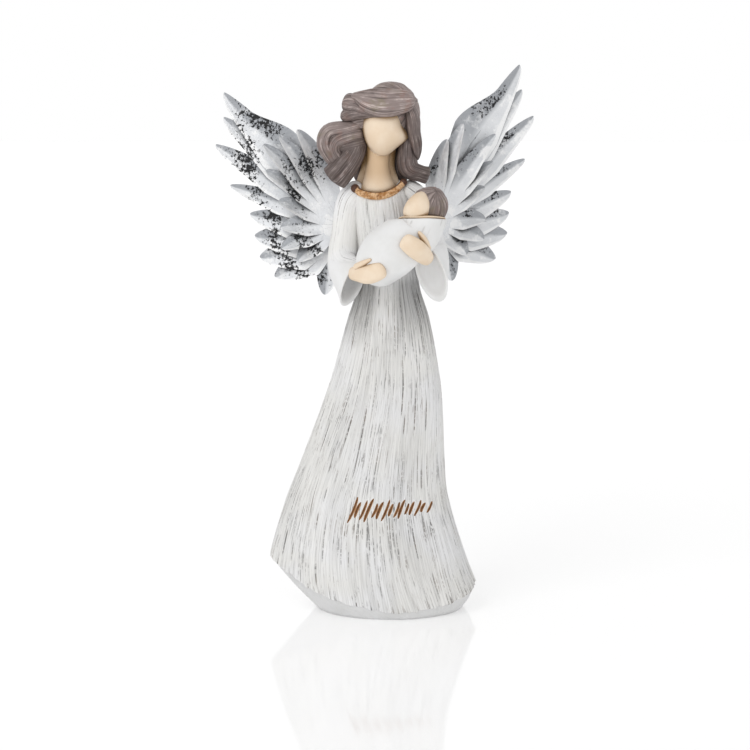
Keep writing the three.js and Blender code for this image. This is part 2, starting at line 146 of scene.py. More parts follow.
FLOOR_HALF = 4.0
FLOOR_GLOW = 0.18
floor_mesh = bpy.data.meshes.new("floor")
floor_corners = [(-1, -1, 0), (1, -1, 0), (1, 1, 0), (-1, 1, 0)]
floor_mesh.from_pydata((np.array(floor_corners) * FLOOR_HALF).tolist(), [], [(0, 1, 2, 3)])
floor_finish = bpy.data.materials.new("polished_white")
floor_finish.use_nodes = True
floor_shade = Wire(floor_finish.node_tree)
floor_place = floor_shade.node("ShaderNodeTexCoord", {}, {}, out="Object")
floor_cloud = floor_shade.node("ShaderNodeTexNoise", {}, {"Vector": floor_place, "Scale": 9.0}, out="Fac")
floor_shade.feed(
    floor_finish.node_tree.nodes["Principled BSDF"],
    {
        "Base Color": floor_cloud.mix(paint(250, 250, 250), paint(252, 252, 252)),
        "Roughness": 0.06 + 0.04 * floor_cloud,
        "IOR": 1.42,
        "Emission Color": (1, 1, 1, 1),
        "Emission Strength": FLOOR_GLOW,
    },
)
floor_mesh.materials.append(floor_finish)
floor = bpy.data.objects.new("floor", floor_mesh)
scene.collection.objects.link(floor)

# The gown: the body of the casting, from a flat foot with a cut-back edge to a skirt that sways to the
# figure's right and narrows to the waist and bodice. It is scored all over like split wood, painted chalk
# white, and rubbed with a dark wash that stays in the cuts. Painted shade darkens it under the arms and
# in its creases, and darkens the bevel under the hem.
GOWN_STATIONS = [
    # height, then where the right, left, front and back sides are
    [0, -49, 39, -28.5, 28],
    [20, -48.3, 30.8, -26.5, 25.5],
    [44, -41.7, 23.4, -22.5, 21.5],
    [60, -35.4, 21.7, -20, 19],
    [90, -24.4, 20.3, -16, 15.5],
    [117, -16.8, 15.6, -12, 12],
    [130, -13, 11.8, -9.8, 9.8],
    [145, -13.5, 10.5, -9.5, 9.2],
    [158, -15, 9.5, -8.8, 8.9],
    [166, -15.2, 7.7, -9.2, 7.8],
    [173, -12.5, 3.9, -7.6, 6.5],
]
GOWN_COLUMNS = 384
GOWN_ROWS = 100
FOOT_HALF = (29, 24.5)
FLUTES = {"count": 8, "depth": 0.6, "fade_from": 60, "fade_over": 60}
GRAIN_SWAY = 0.035
GRAIN_RELIEF = 0.14
CUT_DEPTH = 0.36
HEM = {"mean": 11.3, "right": 6.3, "back": 1.8, "sides": 4.9, "ragged": 0.45}
LIP = {"shares": (0.985, 0.98, 1), "drop": 0.35}
BEVEL_ROWS = 7
BEVEL_SWELL = 0.5
# how dark the painted shade on the bevel under the hem is
BEVEL_SHADE = 0.26
NECKLINE = {"half_width": 9.3, "z": 169.8, "slope": 3.2, "lean": 0.11}
UNDER_ARMS = {"from": 100, "rise_over": 26, "to": 137, "fall_over": 6}


def smooth(value):
    """The S-shaped rise from 0 to 1: three squares less two cubes, held flat outside."""
    held = np.clip(value, 0, 1)
    return held * held * (3 - 2 * held)


def through(knots, values, at):
    """A cubic curve through the values at the knots, whose slope at each knot is that of the chord
    between its two neighbours."""
    knots = np.asarray(knots, float)
    values = np.asarray(values, float)
    last = len(knots) - 1
    after = np.minimum(np.arange(last + 1) + 1, last)
    before = np.maximum(np.arange(last + 1) - 1, 0)
    ones = (1,) * (values.ndim - 1)
    slopes = (values[after] - values[before]) / (knots[after] - knots[before]).reshape(-1, *ones)
    at = np.asarray(at, float)
    i = np.clip(np.searchsorted(knots, at, side="right") - 1, 0, last - 1)
    span = (knots[i + 1] - knots[i]).reshape(at.shape + ones)
    t = np.clip((at - knots[i]).reshape(at.shape + ones) / span, 0, 1)
    rise = values[i + 1] - values[i]
    bow = (slopes[i] * span - rise) * (1 - t) + (rise - slopes[i + 1] * span) * t
    return values[i] + t * rise + t * (1 - t) * bow


def wobble(seed, rows, columns, along_cells, around_cells):
    """Smooth random relief from -1 to 1 that closes on itself around the columns: a coarse lattice of
    random values, drawn out along the rows and then around the columns by the cubic curve."""
    lattice = np.random.default_rng(seed).uniform(-1, 1, (along_cells, around_cells))
    looped = np.concatenate([lattice[:, -2:], lattice, lattice[:, :3]], axis=1)
    drawn = through(np.linspace(0, 1, along_cells), looped, np.linspace(0, 1, rows))
    turns = np.arange(columns) / columns * around_cells
    return through(np.arange(-2, around_cells + 3), drawn.T, turns).T


def scored(seed, rows, columns, gap, cells, low, high):
    """Cuts along the rows, 0 to 1 deep: one every few columns, each with its own strength and broken
    into dashes where its smooth random strength falls below low, with sloping shoulders either side."""
    random = np.random.default_rng(seed)
    places = np.cumsum(random.integers(gap[0], gap[1] + 1, columns))
    places = places[places < columns]
    lattice = random.random((cells, places.size))
    strength = through(np.linspace(0, 1, cells), lattice, np.linspace(0, 1, rows))
    cuts = np.zeros((rows, columns))
    cuts[:, places] = smooth((strength - low) / (high - low)) * random.uniform(0.4, 1, places.size)
    return np.maximum(cuts, 0.4 * np.maximum(np.roll(cuts, 1, axis=1), np.roll(cuts, -1, axis=1)))


def outward(rings):
    """Directions square to a stack of rings: the way round crossed with the way along."""
    around = np.roll(rings, -1, axis=1) - np.roll(rings, 1, axis=1)
    along = np.gradient(rings, axis=0)
    square = np.cross(around, along)
    return square / np.maximum(np.linalg.norm(square, axis=-1, keepdims=True), 1e-9)


def raised(rings, height):
    """The rings moved out along their own outward directions by a height for each point."""
    return rings + outward(rings) * height[..., None]


def cast(name, rings, finishes, choice=None, groove=None, wash_and_shade=None, around=40.0):
    """A closed skin over a stack of rings, each joined to the next by quads and each end ring closed by
    a fan to its middle. It carries how deep each point is cut, how dark its wash and painted shade are,
    and a flow map in millimetres: around the ring, and along the stack by the mean distance between rings."""
    rows, columns = rings.shape[:2]
    ends = np.stack([rings[0].mean(axis=0), rings[-1].mean(axis=0)])
    points = np.concatenate([rings.reshape(-1, 3), ends]) * MM
    index = np.arange(rows * columns).reshape(rows, columns)
    beside = np.roll(index, -1, axis=1)
    quads = np.stack([index[:-1], beside[:-1], beside[1:], index[1:]], axis=-1).reshape(-1, 4)
    first_pole = np.full(columns, rows * columns)
    first = np.stack([beside[0], index[0], first_pole], axis=-1)
    final = np.stack([index[-1], beside[-1], first_pole + 1], axis=-1)
    corners = np.concatenate([quads.ravel(), first.ravel(), final.ravel()])
    sizes = np.concatenate([np.full(len(quads), 4), np.full(2 * columns, 3)])
    mesh = bpy.data.meshes.new(name)
    mesh.vertices.add(len(points))
    mesh.vertices.foreach_set("co", points.ravel())
    mesh.loops.add(len(corners))
    mesh.loops.foreach_set("vertex_index", corners)
    mesh.polygons.add(len(sizes))
    mesh.polygons.foreach_set("loop_start", np.concatenate([[0], np.cumsum(sizes)[:-1]]))
    mesh.polygons.foreach_set("loop_total", sizes)
    for finish in finishes:
        mesh.materials.append(finish)
    if choice is not None:
        end_choice = np.concatenate([choice[0], choice[-1]])
        mesh.polygons.foreach_set("material_index", np.concatenate([choice.ravel(), end_choice]))
    mesh.update(calc_edges=True)
    steps = np.linalg.norm(np.diff(rings, axis=0), axis=-1).mean(axis=1)
    along = np.broadcast_to(np.concatenate([[0], np.cumsum(steps)])[:, None], (rows, columns + 1))
    turns = np.broadcast_to(np.arange(columns + 1) / columns * around, (rows, columns + 1))
    flow = np.stack([turns, along], axis=-1)
    sides = [flow[:-1, :-1], flow[:-1, 1:], flow[1:, 1:], flow[1:, :-1]]
    first_flow = np.stack([flow[0, 1:], flow[0, :-1], flow[0, :-1]], axis=1)
    final_flow = np.stack([flow[-1, :-1], flow[-1, 1:], flow[-1, 1:]], axis=1)
    pieces = [np.stack(sides, axis=2).ravel(), first_flow.ravel(), final_flow.ravel()]
    layer = mesh.uv_layers.new(name="flow")
    layer.uv.foreach_set("vector", np.concatenate(pieces).astype(np.float32))
    for key, values in (("groove", groove), ("wash_and_shade", wash_and_shade)):
        laid = np.broadcast_to(0.0 if values is None else values, (rows, columns))
        filled = np.concatenate([laid.ravel(), [laid[0].mean(), laid[-1].mean()]])
        mesh.attributes.new(key, "FLOAT", "POINT").data.foreach_set("value", filled.astype(np.float32))
    made = bpy.data.objects.new(name, mesh)
    scene.collection.objects.link(made)
    return made


def hem_height(turn):
    """The hem's height: a mean, higher on the figure's right, at the back and at both sides."""
    sway = HEM["back"] * np.sin(turn) - HEM["right"] * np.cos(turn)
    return HEM["mean"] + sway + HEM["sides"] * np.cos(2 * turn)


def neckline_height(turn):
    """The neckline's height: a tilted plane, low in front, and a little higher on the figure's left."""
    lean = NECKLINE["lean"] * NECKLINE["half_width"] * np.cos(turn)
    return NECKLINE["z"] + NECKLINE["slope"] * np.sin(turn) + lean


def gown_outline(turn, height):
    """The gown's side: an oval between its four sides at that height, with shallow flutes, a sine of
    the turn, that fade out towards the waist."""
    sides = through([row[0] for row in GOWN_STATIONS], [row[1:] for row in GOWN_STATIONS], height)
    right, left, front, back = np.moveaxis(sides, -1, 0)
    fade = 1 - smooth((height - FLUTES["fade_from"]) / FLUTES["fade_over"])
    flute = FLUTES["depth"] * fade * np.sin(FLUTES["count"] * turn)
    x = (left + right) / 2 + ((left - right) / 2 + flute) * np.cos(turn)
    y = (front + back) / 2 + ((back - front) / 2 + flute) * np.sin(turn)
    return np.stack([x, y, height + 0 * turn], axis=-1)


def new_finish(name):
    """A fresh material, the wire that its nodes hang on, and its shader."""
    material = bpy.data.materials.new(name)
    material.use_nodes = True
    return material, Wire(material.node_tree), material.node_tree.nodes["Principled BSDF"]


def place_in_mm(wire):
    """The point on the piece, in millimetres."""
    place = wire.node("ShaderNodeTexCoord", {}, {}, out="Object")
    return wire.node("ShaderNodeVectorMath", {"operation": "SCALE"}, {0: place, "Scale": 1 / MM})


def stretched(wire, place, scales):
    """A place with each of its directions scaled."""
    return wire.node("ShaderNodeVectorMath", {"operation": "MULTIPLY"}, {0: place, 1: scales})


def noise(wire, place, scale=1.0, detail=2.0, roughness=0.5):
    """Cloudy noise, 0 to 1 with a mean of a half."""
    sockets = {"Vector": place, "Scale": scale, "Detail": detail, "Roughness": roughness}
    return wire.node("ShaderNodeTexNoise", {}, sockets, out="Fac")


def drawn_out(wire, flow, around, along, detail=2.0, roughness=0.5):
    """Noise drawn out along the flow map: how many cells a millimetre around it and along it."""
    return noise(wire, stretched(wire, flow, (around, along, 1)), 1.0, detail, roughness)


def sheltered(wire, reach_mm, local=True):
    """How sheltered a point is, used to paint shade into creases: one less the share of open sky
    within reach, by this piece or by all.
    """
    settings = {"samples": 8, "only_local": local}
    reach = {"Distance": reach_mm * MM}
    return 1 - wire.node("ShaderNodeAmbientOcclusion", settings, reach, out="AO")


def painted(wire, name):
    """A value carried on the mesh."""
    return wire.node("ShaderNodeAttribute", {"attribute_name": name}, {}, out="Fac")


def bump(wire, height, depth_mm):
    """The normal that goes with a height of 0 to 1."""
    return wire.node("ShaderNodeBump", {}, {"Height": height, "Distance": depth_mm * MM})


def wood_white_finish():
    """Chalk white rubbed with a dark wash: faint grey streaks and thin broken lines along the grain, dark
    in every cut, browner in patches, with grey clouds where the wash was left standing, and painted
    shade in creases and under the arms."""
    material, wire, shader = new_finish("scored_chalk_white")
    place = place_in_mm(wire)
    flow = wire.node("ShaderNodeUVMap", {"uv_map": "flow"}, {})
    groove = painted(wire, "groove")
    wash_and_shade = painted(wire, "wash_and_shade")
    height = wire.node("ShaderNodeSeparateXYZ", {}, {0: place}, out="Z")
    sparse = 1 - 0.6 * height.step(110, 150)
    skirt = 1 - height.step(50, 105)
    crease = sheltered(wire, 3)
    streak = drawn_out(wire, flow, 0.9, 0.03, 3.0).step(0.42, 0.72) * sparse
    hairline = drawn_out(wire, flow, 3.4, 0.045, 3.0).step(0.42, 0.62)
    patchy = drawn_out(wire, flow, 0.11, 0.03).step(0.3, 0.6)
    rough = noise(wire, place, 0.8, 3.0, 0.6).step(0.38, 0.5)
    wide_line = drawn_out(wire, flow, 1.2, 0.028).step(0.6, 0.65)
    close_line = drawn_out(wire, flow, 2.6, 0.034).step(0.6, 0.66)
    long_line = wide_line * (1 - skirt) + close_line * skirt
    short_line = drawn_out(wire, flow, 2.4, 0.1).step(0.61, 0.67)
    broken = (0.3 + 0.7 * patchy) * (0.15 + 0.85 * rough) * sparse
    line = (long_line + 0.8 * short_line) * broken
    brown = noise(wire, place, 0.09, 2.0).step(0.46, 0.64)
    cloud = noise(wire, place, 0.05, 3.0).step(0.35, 0.65)
    white = cloud.mix(paint(246, 246, 247), paint(243, 242, 239))
    white = (0.24 * streak).mix(white, paint(206, 206, 205))
    white = (0.36 * hairline * sparse).mix(white, paint(190, 189, 186))
    # grey wash clouds, and painted shade under the arms
    white = (0.95 * wash_and_shade * (0.55 + 0.45 * streak)).mix(white, paint(100, 99, 98))
    # painted shade in creases, found by occlusion
    white = (0.7 * crease.step(0.3, 0.8) * (0.45 + 0.55 * hairline)).mix(white, paint(112, 107, 102))
    white = (0.75 * line).mix(white, brown.mix(paint(88, 86, 84), paint(116, 94, 72)))
    deep = brown.mix(paint(54, 51, 48), paint(86, 66, 48))
    colour = (0.85 * groove.step(0.35, 0.9) * (0.35 + 0.65 * rough)).mix(white, deep)
    grain = drawn_out(wire, flow, 1.6, 0.12, 4.0, 0.6)
    relief = bump(wire, 0.8 * grain - 0.5 * line + 0.2 * noise(wire, place, 3.0, 3.0), 0.25)
    wire.feed(shader, {"Base Color": colour, "Roughness": 0.72 - 0.12 * streak, "Normal": relief})
    return material


def plain_white_finish():
    """The same chalk white left smooth: brush marks, faint grey clouds, grey in the gathers, painted shade
    in creases, inside the sleeves, on the bevel and under the bundle, and brown specks where it is
    deepest.
    """
    material, wire, shader = new_finish("smooth_chalk_white")
    place = place_in_mm(wire)
    wash_and_shade = painted(wire, "wash_and_shade")
    groove = painted(wire, "groove")
    cloud = noise(wire, place, 0.12, 3.0)
    speck = noise(wire, place, 1.3, 3.0, 0.6).step(0.58, 0.66)
    white = cloud.step(0.3, 0.7).mix(paint(240, 240, 240), paint(233, 233, 232))
    crease = sheltered(wire, 2.5)
    # painted shade inside the sleeves, on the bevel and under the bundle, then painted shade in creases
    white = (0.8 * wash_and_shade).mix(white, paint(128, 128, 130))
    white = (0.35 * crease.step(0.35, 0.9)).mix(white, paint(140, 140, 142))
    white = (0.55 * groove.step(0.1, 0.9)).mix(white, paint(176, 174, 171))
    # brown specks laid where that painted shade is deepest
    colour = (0.7 * wash_and_shade * wash_and_shade * speck).mix(white, paint(96, 80, 66))
    brush = noise(wire, stretched(wire, place, (1.2, 1.2, 0.5)), 1.0, 4.0, 0.6)
    relief = bump(wire, brush, 0.12)
    wire.feed(shader, {"Base Color": colour, "Roughness": 0.58 + 0.2 * brush, "Normal": relief})
    return material


wood_white = wood_white_finish()
plain_white = plain_white_finish()

turn = math.pi / 2 + 2 * math.pi * np.arange(GOWN_COLUMNS) / GOWN_COLUMNS
grain_sway = GRAIN_SWAY * wobble(11, GOWN_ROWS, GOWN_COLUMNS, 7, 22)
up = np.linspace(0, 1, GOWN_ROWS)[:, None]
ragged_hem = hem_height(turn) + HEM["ragged"] * wobble(12, 2, GOWN_COLUMNS, 2, 150)[0]
gown_height = ragged_hem + (neckline_height(turn) - ragged_hem) * up
gown_cuts = scored(13, GOWN_ROWS, GOWN_COLUMNS, (2, 5), 17, 0.64, 0.9)
gown_cuts = gown_cuts * smooth((1 - up) / 0.015)
gown_relief = GRAIN_RELIEF * wobble(14, GOWN_ROWS, GOWN_COLUMNS, 9, 128) - CUT_DEPTH * gown_cuts
gown_body = raised(gown_outline(turn + grain_sway, gown_height), gown_relief)

# painted shade on the front and sides under the arms and the bundle, over faint random grey wash clouds
under_arms = smooth((gown_height - UNDER_ARMS["from"]) / UNDER_ARMS["rise_over"])
under_arms = under_arms * smooth((UNDER_ARMS["to"] - gown_height) / UNDER_ARMS["fall_over"])
beside_middle = 0.3 + 0.7 * smooth((np.abs(np.cos(turn + 0.1)) - 0.12) / 0.4)
gown_wash_and_shade = under_arms * beside_middle * smooth((0.45 - np.sin(turn)) / 0.5)
gown_wash_and_shade = np.maximum(gown_wash_and_shade, 0.12 + 0.12 * wobble(15, GOWN_ROWS, GOWN_COLUMNS, 6, 12))

lip = gown_body[0] * np.array(LIP["shares"]) - np.array([0, 0, LIP["drop"]])
foot = np.stack([FOOT_HALF[0] * np.cos(turn), FOOT_HALF[1] * np.sin(turn), 0 * turn], axis=-1)
from_foot = np.linspace(0, 1, BEVEL_ROWS)[:, None]
bevel = foot + (lip - foot) * from_foot[..., None]
swell = BEVEL_SWELL * (1 + 0.7 * wobble(16, BEVEL_ROWS, GOWN_COLUMNS, 3, 20))
bevel = raised(bevel, swell * np.sin(math.pi * from_foot))
bevel[0, :, 2] = 0
gown_rings = np.concatenate([bevel, gown_body])
gown_choice = np.zeros((len(gown_rings) - 1, GOWN_COLUMNS), np.int32)
gown_choice[: BEVEL_ROWS - 1] = 1
bare = np.zeros((BEVEL_ROWS, GOWN_COLUMNS))
gown = cast(
    "gown",
    gown_rings,
    [wood_white, plain_white],
    gown_choice,
    np.concatenate([bare, gown_cuts]),
    np.concatenate([bare + BEVEL_SHADE, gown_wash_and_shade]),
    around=160.0,
)
figure_parts = []
figure_cutters = []

# The engraving: a row of slanting strokes across the front of the skirt, cut into the casting while the
# paint was wet and filled with a brown stain that is lighter along the edges of each cut.
STROKES = 15
STROKE_SPAN = (-15.0, 15.4)
STROKE_HEIGHTS = (10.5, 5.5)
STROKE_MIDDLE = 43.6
STROKE_LEAN = 0.42
STROKE_RADIUS = 0.7
STROKE_SHARES = (1.0, 0.62, 0.8)
STROKE_BENDS = (0.9, -0.7, 0.5, -0.4)
STROKE_COLUMNS = 12


def limb(
    stations,
    across,
    columns=40,
    rows=40,
    start_dome=0.12,
    end_dome=0.12,
    square=2.0,
    facing=None,
    turn_from=0.55,
):
    """Rings of an oval carried along the cubic curve through stations, each x, y, z of its middle, its
    half width along the across direction and its half thickness square to that. The oval is a
    superellipse of the given power. It shrinks by a quarter ellipse over a share of the length at each
    end, or stays open there if that share is 0, and from a given share on it turns to face the given
    way instead of along the curve."""
    stations = np.asarray(stations, float)
    knots = np.linspace(0, 1, len(stations))
    t = 0.5 - 0.5 * np.cos(math.pi * np.linspace(0, 1, rows))
    values = through(knots, stations, t)
    nudge = 1e-3
    ahead = through(knots, stations[:, :3], np.minimum(t + nudge, 1))
    along = ahead - through(knots, stations[:, :3], np.maximum(t - nudge, 0))
    along /= np.linalg.norm(along, axis=1, keepdims=True)
    if facing is not None:
        towards = np.asarray(facing, float) / np.linalg.norm(facing)
        along = along + (towards - along) * smooth((t - turn_from) / (1 - turn_from))[:, None]
        along /= np.linalg.norm(along, axis=1, keepdims=True)
    across = np.asarray(across, float)
    if across.ndim > 1:
        across = through(knots, across, t)
    wide = across - (across * along).sum(axis=-1, keepdims=True) * along
    wide /= np.linalg.norm(wide, axis=1, keepdims=True)
    thick = np.cross(along, wide)
    from_start = np.maximum(1 - t / start_dome, 0)
    from_end = np.maximum(1 - (1 - t) / end_dome, 0) if end_dome else 0 * t
    ends = np.sqrt(np.maximum(1 - from_start**2, 0.004) * np.maximum(1 - from_end**2, 0.004))
    turn = 2 * math.pi * np.arange(columns) / columns
    power = 2 / square
    width_share = np.sign(np.cos(turn)) * np.abs(np.cos(turn)) ** power
    thick_share = np.sign(np.sin(turn)) * np.abs(np.sin(turn)) ** power
    half_width = (values[:, 3] * ends)[:, None] * width_share
    half_thick = (values[:, 4] * ends)[:, None] * thick_share
    sideways = wide[:, None] * half_width[..., None]
    return values[:, None, :3] + sideways + thick[:, None] * half_thick[..., None]


def stain_finish():
    """Brown stain: dark in the bottom of a cut, orange where it thins towards the edges."""
    material, wire, shader = new_finish("brown_stain")
    place = place_in_mm(wire)
    patch = noise(wire, place, 0.9, 3.0)
    deep = painted(wire, "groove") + 0.5 * patch
    colour = deep.step(0.75, 1.2).mix(paint(190, 138, 84), paint(100, 66, 38))
    relief = bump(wire, patch, 0.1)
    wire.feed(shader, {"Base Color": colour, "Roughness": 0.5 + 0.3 * patch, "Normal": relief})
    return material


def on_the_front(x, z):
    """Points on the front of the skirt at a given x and z: the oval's x gives its turn, which gives y."""
    sides = through([row[0] for row in GOWN_STATIONS], [row[1:] for row in GOWN_STATIONS], z)
    right, left, front, back = np.moveaxis(sides, -1, 0)
    turned = -np.arccos(np.clip((x - (left + right) / 2) / ((left - right) / 2), -1, 1))
    return gown_outline(turned, z)


stain = stain_finish()
for k, share in enumerate(np.linspace(0, 1, STROKES)):
    tall = STROKE_HEIGHTS[0] + (STROKE_HEIGHTS[1] - STROKE_HEIGHTS[0]) * share
    tall *= STROKE_SHARES[k % len(STROKE_SHARES)]
    rise = np.linspace(-0.5, 0.5, 7)
    bend = (0.5 - 2 * rise**2) * STROKE_BENDS[k % len(STROKE_BENDS)]
    stroke_x = STROKE_SPAN[0] + (STROKE_SPAN[1] - STROKE_SPAN[0]) * share
    stroke_path = on_the_front(stroke_x + STROKE_LEAN * tall * rise + bend, STROKE_MIDDLE + tall * rise)
    size = STROKE_RADIUS * (0.45 + 0.55 * np.cos(rise * 2.4)) * (1.0 if k % 2 else 0.85)
    stroke_stations = np.concatenate([stroke_path, size[:, None], size[:, None]], axis=1)
    stroke = limb(stroke_stations, (1, 0, 0), STROKE_COLUMNS, 18, start_dome=0.2, end_dome=0.2)
    deep = np.maximum(np.sin(2 * math.pi * np.arange(STROKE_COLUMNS) / STROKE_COLUMNS), 0) ** 2
    figure_cutters.append(cast(f"stroke_{k}", stroke, [stain], groove=deep))

# The sleeves: two bell sleeves of the casting, scored like the gown down to the elbow, with a smooth
# white cuff a little thicker than the sleeve, that droops open around each wrist.
SLEEVES = [
    {
        "stations": [
            [-9.5, 0.5, 169.6, 5, 4.2],
            [-15.4, 0.5, 164.2, 6, 5.6],
            [-17.6, 0.3, 151, 6, 5.8],
            [-18.6, -3, 139, 7, 6],
            [-14.6, -10.5, 132.2, 9.4, 5.6],
        ],
        "across": [(0, 1, 0.1), (0, 1, 0.1), (0, 1, -0.2), (-0.15, 0.6, -0.75), (-0.3, -0.1, -0.95)],
        "facing": (0.72, -0.62, -0.3),
        "cuff_top": 141.2,
        "hollow": 5.6,
        "inside": 0.45,
    },
    {
        "stations": [
            [3.5, 0.5, 170.4, 5, 4.2],
            [10.2, 0.5, 164.2, 6, 5.6],
            [14.6, -0.3, 152, 6, 5.6],
            [17.2, -4.5, 141.5, 8.5, 5.8],
            [16, -13.5, 136.3, 11.6, 5.7],
        ],
        "across": [(0, 1, 0.1), (0, 1, 0.1), (0, 1, -0.2), (0.15, 0.6, -0.75), (0.28, 0.05, -0.95)],
        "facing": (-0.35, -0.9, -0.25),
        "cuff_top": 148.0,
        "hollow": 3.0,
        "inside": 0.1,
    },
]
SLEEVE_COLUMNS = 112
SLEEVE_ROWS = 56
CUFF_STEP = 0.4
CUFF_UNEVEN = 0.3
SLEEVE_FOLDS = 0.12
SLEEVE_CUT_DEPTH = 0.26
# how far out of the mouth, as a share of the hollow's depth, and what share of its size: lip, then hollow
MOUTH = [
    (0.05, 0.965),
    (0.05, 0.9),
    (-0.08, 0.83),
    (-0.3, 0.79),
    (-0.56, 0.72),
    (-0.8, 0.58),
    (-0.95, 0.38),
    (-1, 0.15),
]


def with_mouth(rings, way_out, mouth, depth=1.0):
    """The rings, then copies of the last one shrunk about its middle and moved along the way out of it,
    which turn over its lip and run down inside it."""
    towards = np.asarray(way_out, float) / np.linalg.norm(way_out)
    middle = rings[-1].mean(axis=0)
    moves = np.array([move for move, _ in mouth])[:, None, None] * depth
    shares = np.array([share for _, share in mouth])[:, None, None]
    return np.concatenate([rings, middle + towards * moves + (rings[-1] - middle) * shares])


for k, sleeve in enumerate(SLEEVES):
    tube = limb(
        sleeve["stations"],
        sleeve["across"],
        SLEEVE_COLUMNS,
        SLEEVE_ROWS,
        end_dome=0,
        facing=sleeve["facing"],
    )
    uneven = CUFF_UNEVEN * wobble(21 + k, SLEEVE_ROWS, SLEEVE_COLUMNS, 4, 9)
    below = smooth((sleeve["cuff_top"] - tube[..., 2] + uneven) / 0.5)
    cuff = below * smooth(np.linspace(-1.2, 1.6, SLEEVE_ROWS))[:, None]
    cuts = scored(23 + k, SLEEVE_ROWS, SLEEVE_COLUMNS, (2, 5), 11, 0.5, 0.85) * (1 - cuff)
    cuts = cuts * smooth((tube[..., 2] - sleeve["cuff_top"] - 2) / 8)
    folds = SLEEVE_FOLDS * wobble(25 + k, SLEEVE_ROWS, SLEEVE_COLUMNS, 7, 24) * (1 - cuff)
    tube = raised(tube, CUFF_STEP * cuff + folds - SLEEVE_CUT_DEPTH * cuts)
    way_out = np.diff(np.array(sleeve["stations"])[-2:, :3], axis=0)[0]
    rings = with_mouth(tube, way_out, MOUTH, sleeve["hollow"])
    inside = np.ones((len(MOUTH), SLEEVE_COLUMNS))
    # painted shade inside each mouth, deepening down into it, as strong as the sleeve's inside value
    hollow_shade = smooth(np.linspace(-0.2, 1.6, len(MOUTH)))[:, None] * inside
    choice = np.concatenate([cuff, inside])[1:] > 0.5
    figure_parts.append(
        cast(
            f"sleeve_{k}",
            rings,
            [wood_white, plain_white],
            choice.astype(np.int32),
            np.concatenate([cuts, 0 * inside]),
            np.concatenate([0 * cuff, sleeve["inside"] * hollow_shade]),
            around=36.0,
        )
    )

# The hands: mittens with closed fingers and a slim thumb, modelled in one with the bundle they hold and
# painted a warm skin colour, with ochre painted shade along every edge.
RIGHT_PALM = [
    [-15, -12, 136.2, 2.4, 2.4],
    [-12.2, -18, 136.8, 3.2, 2.7],
    [-8.8, -22.6, 137.1, 3.9, 2.7],
    [-5, -25.4, 138.3, 3.6, 2.3],
    [-2.1, -26.4, 139.7, 2.7, 1.6],
]
RIGHT_THUMB = [
    [-13.6, -18.5, 139.2, 1.5, 1.6],
    [-10.4, -23, 141.4, 1.15, 1.3],
    [-7.4, -25.2, 143.1, 0.55, 0.7],
]
LEFT_PALM = [
    [14.6, -14, 142, 2.4, 2.4],
    [13.2, -21, 144, 3.3, 2.7],
    [10.4, -26.2, 146.8, 3.9, 2.6],
    [7, -28, 149.4, 3.6, 2.1],
    [4.4, -28.2, 151.3, 2.7, 1.5],
]
LEFT_THUMB = [
    [14.6, -21, 146.6, 1.7, 1.6],
    [12.8, -25, 150.8, 1.35, 1.3],
    [10.8, -26.4, 154, 0.6, 0.7],
]


def skin_finish():
    """Flesh paint: soft warm clouds, with ochre painted shade lying in every crease and along the edges,
    and up the neck under the chin.
    """
    material, wire, shader = new_finish("flesh_paint")
    place = place_in_mm(wire)
    cloud = noise(wire, place, 0.16, 3.0)
    fine = noise(wire, place, 2.4, 3.0, 0.6)
    crease = sheltered(wire, 3)
    flesh = cloud.step(0.3, 0.7).mix(paint(245, 226, 202), paint(238, 215, 187))
    # ochre painted shade where the wash-and-shade value is laid, up the neck under the chin
    flesh = (0.75 * painted(wire, "wash_and_shade")).mix(flesh, paint(206, 172, 132))
    # ochre painted shade in creases and along the edges, found by occlusion
    colour = (crease.step(0.05, 0.5) * (0.7 + 0.3 * fine)).mix(flesh, paint(148, 112, 66))
    relief = bump(wire, fine, 0.06)
    wire.feed(shader, {"Base Color": colour, "Roughness": 0.48 + 0.16 * fine, "Normal": relief})
    return material


flesh = skin_finish()
HANDS = [
    ("right_palm", RIGHT_PALM, (0.1, 0.1, 1), 2.6),
    ("right_thumb", RIGHT_THUMB, (0.2, 0.1, 1), 2.0),
    ("left_palm", LEFT_PALM, (0.64, 0, 0.77), 2.6),
    ("left_thumb", LEFT_THUMB, (1, 0, 0.3), 2.0),
]
for name, stations, across, square in HANDS:
    rings = limb(stations, across, 36, 34, start_dome=0.1, end_dome=0.1, square=square)
    figure_parts.append(cast(name, rings, [flesh]))

# The baby: a swaddled bundle in smooth white that opens flat around the neck, where a rim of skin shows,
# then a plain rounded face and a cap of brown hair. All of it belongs to the casting.
BUNDLE = [
    [-11, -13.5, 134.5, 5.4, 5],
    [-6.4, -16, 138.8, 8.9, 8.2],
    [-0.8, -18, 144.6, 10.6, 9.2],
    [4.8, -18, 149.2, 10.4, 9],
    [9.8, -17, 152.6, 9.5, 8.3],
    [12.4, -15.6, 157.4, 9.7, 7.6],
]
BUNDLE_SLOPES = [44, 44, 43, 34, 15, 1]
BUNDLE_ACROSS = [(math.cos(math.radians(a)), 0, -math.sin(math.radians(a))) for a in BUNDLE_SLOPES]
BUNDLE_COLUMNS = 120
BUNDLE_ROWS = 64
BUNDLE_FACING = (0, 0.16, 1)
BUNDLE_MOUTH = [(0.25, 0.97), (0.25, 0.93), (-0.5, 0.89), (-1.2, 0.6), (-1.4, 0.2)]
MOUTH_ROUGHNESS = 0.1
DENT_DEPTH = 0.3
GATHER_DEPTH = 0.3
COLLAR = {"middle": (12.4, -15.7, 158.2), "half_sizes": (9.2, 7.2, 1.3)}
BABY_FACE = {"middle": (10.9, -17.4, 162.9), "half_sizes": (5.5, 6.0, 5.9), "narrowing": 0.24, "lean": 1.0}
BABY_CAP = {"middle": (15.4, -13.6, 163.0), "half_sizes": (7.3, 7.6, 7.5), "crown": (0.35, -0.5, 0.8)}
EGG_COLUMNS = 64
EGG_ROWS = 40


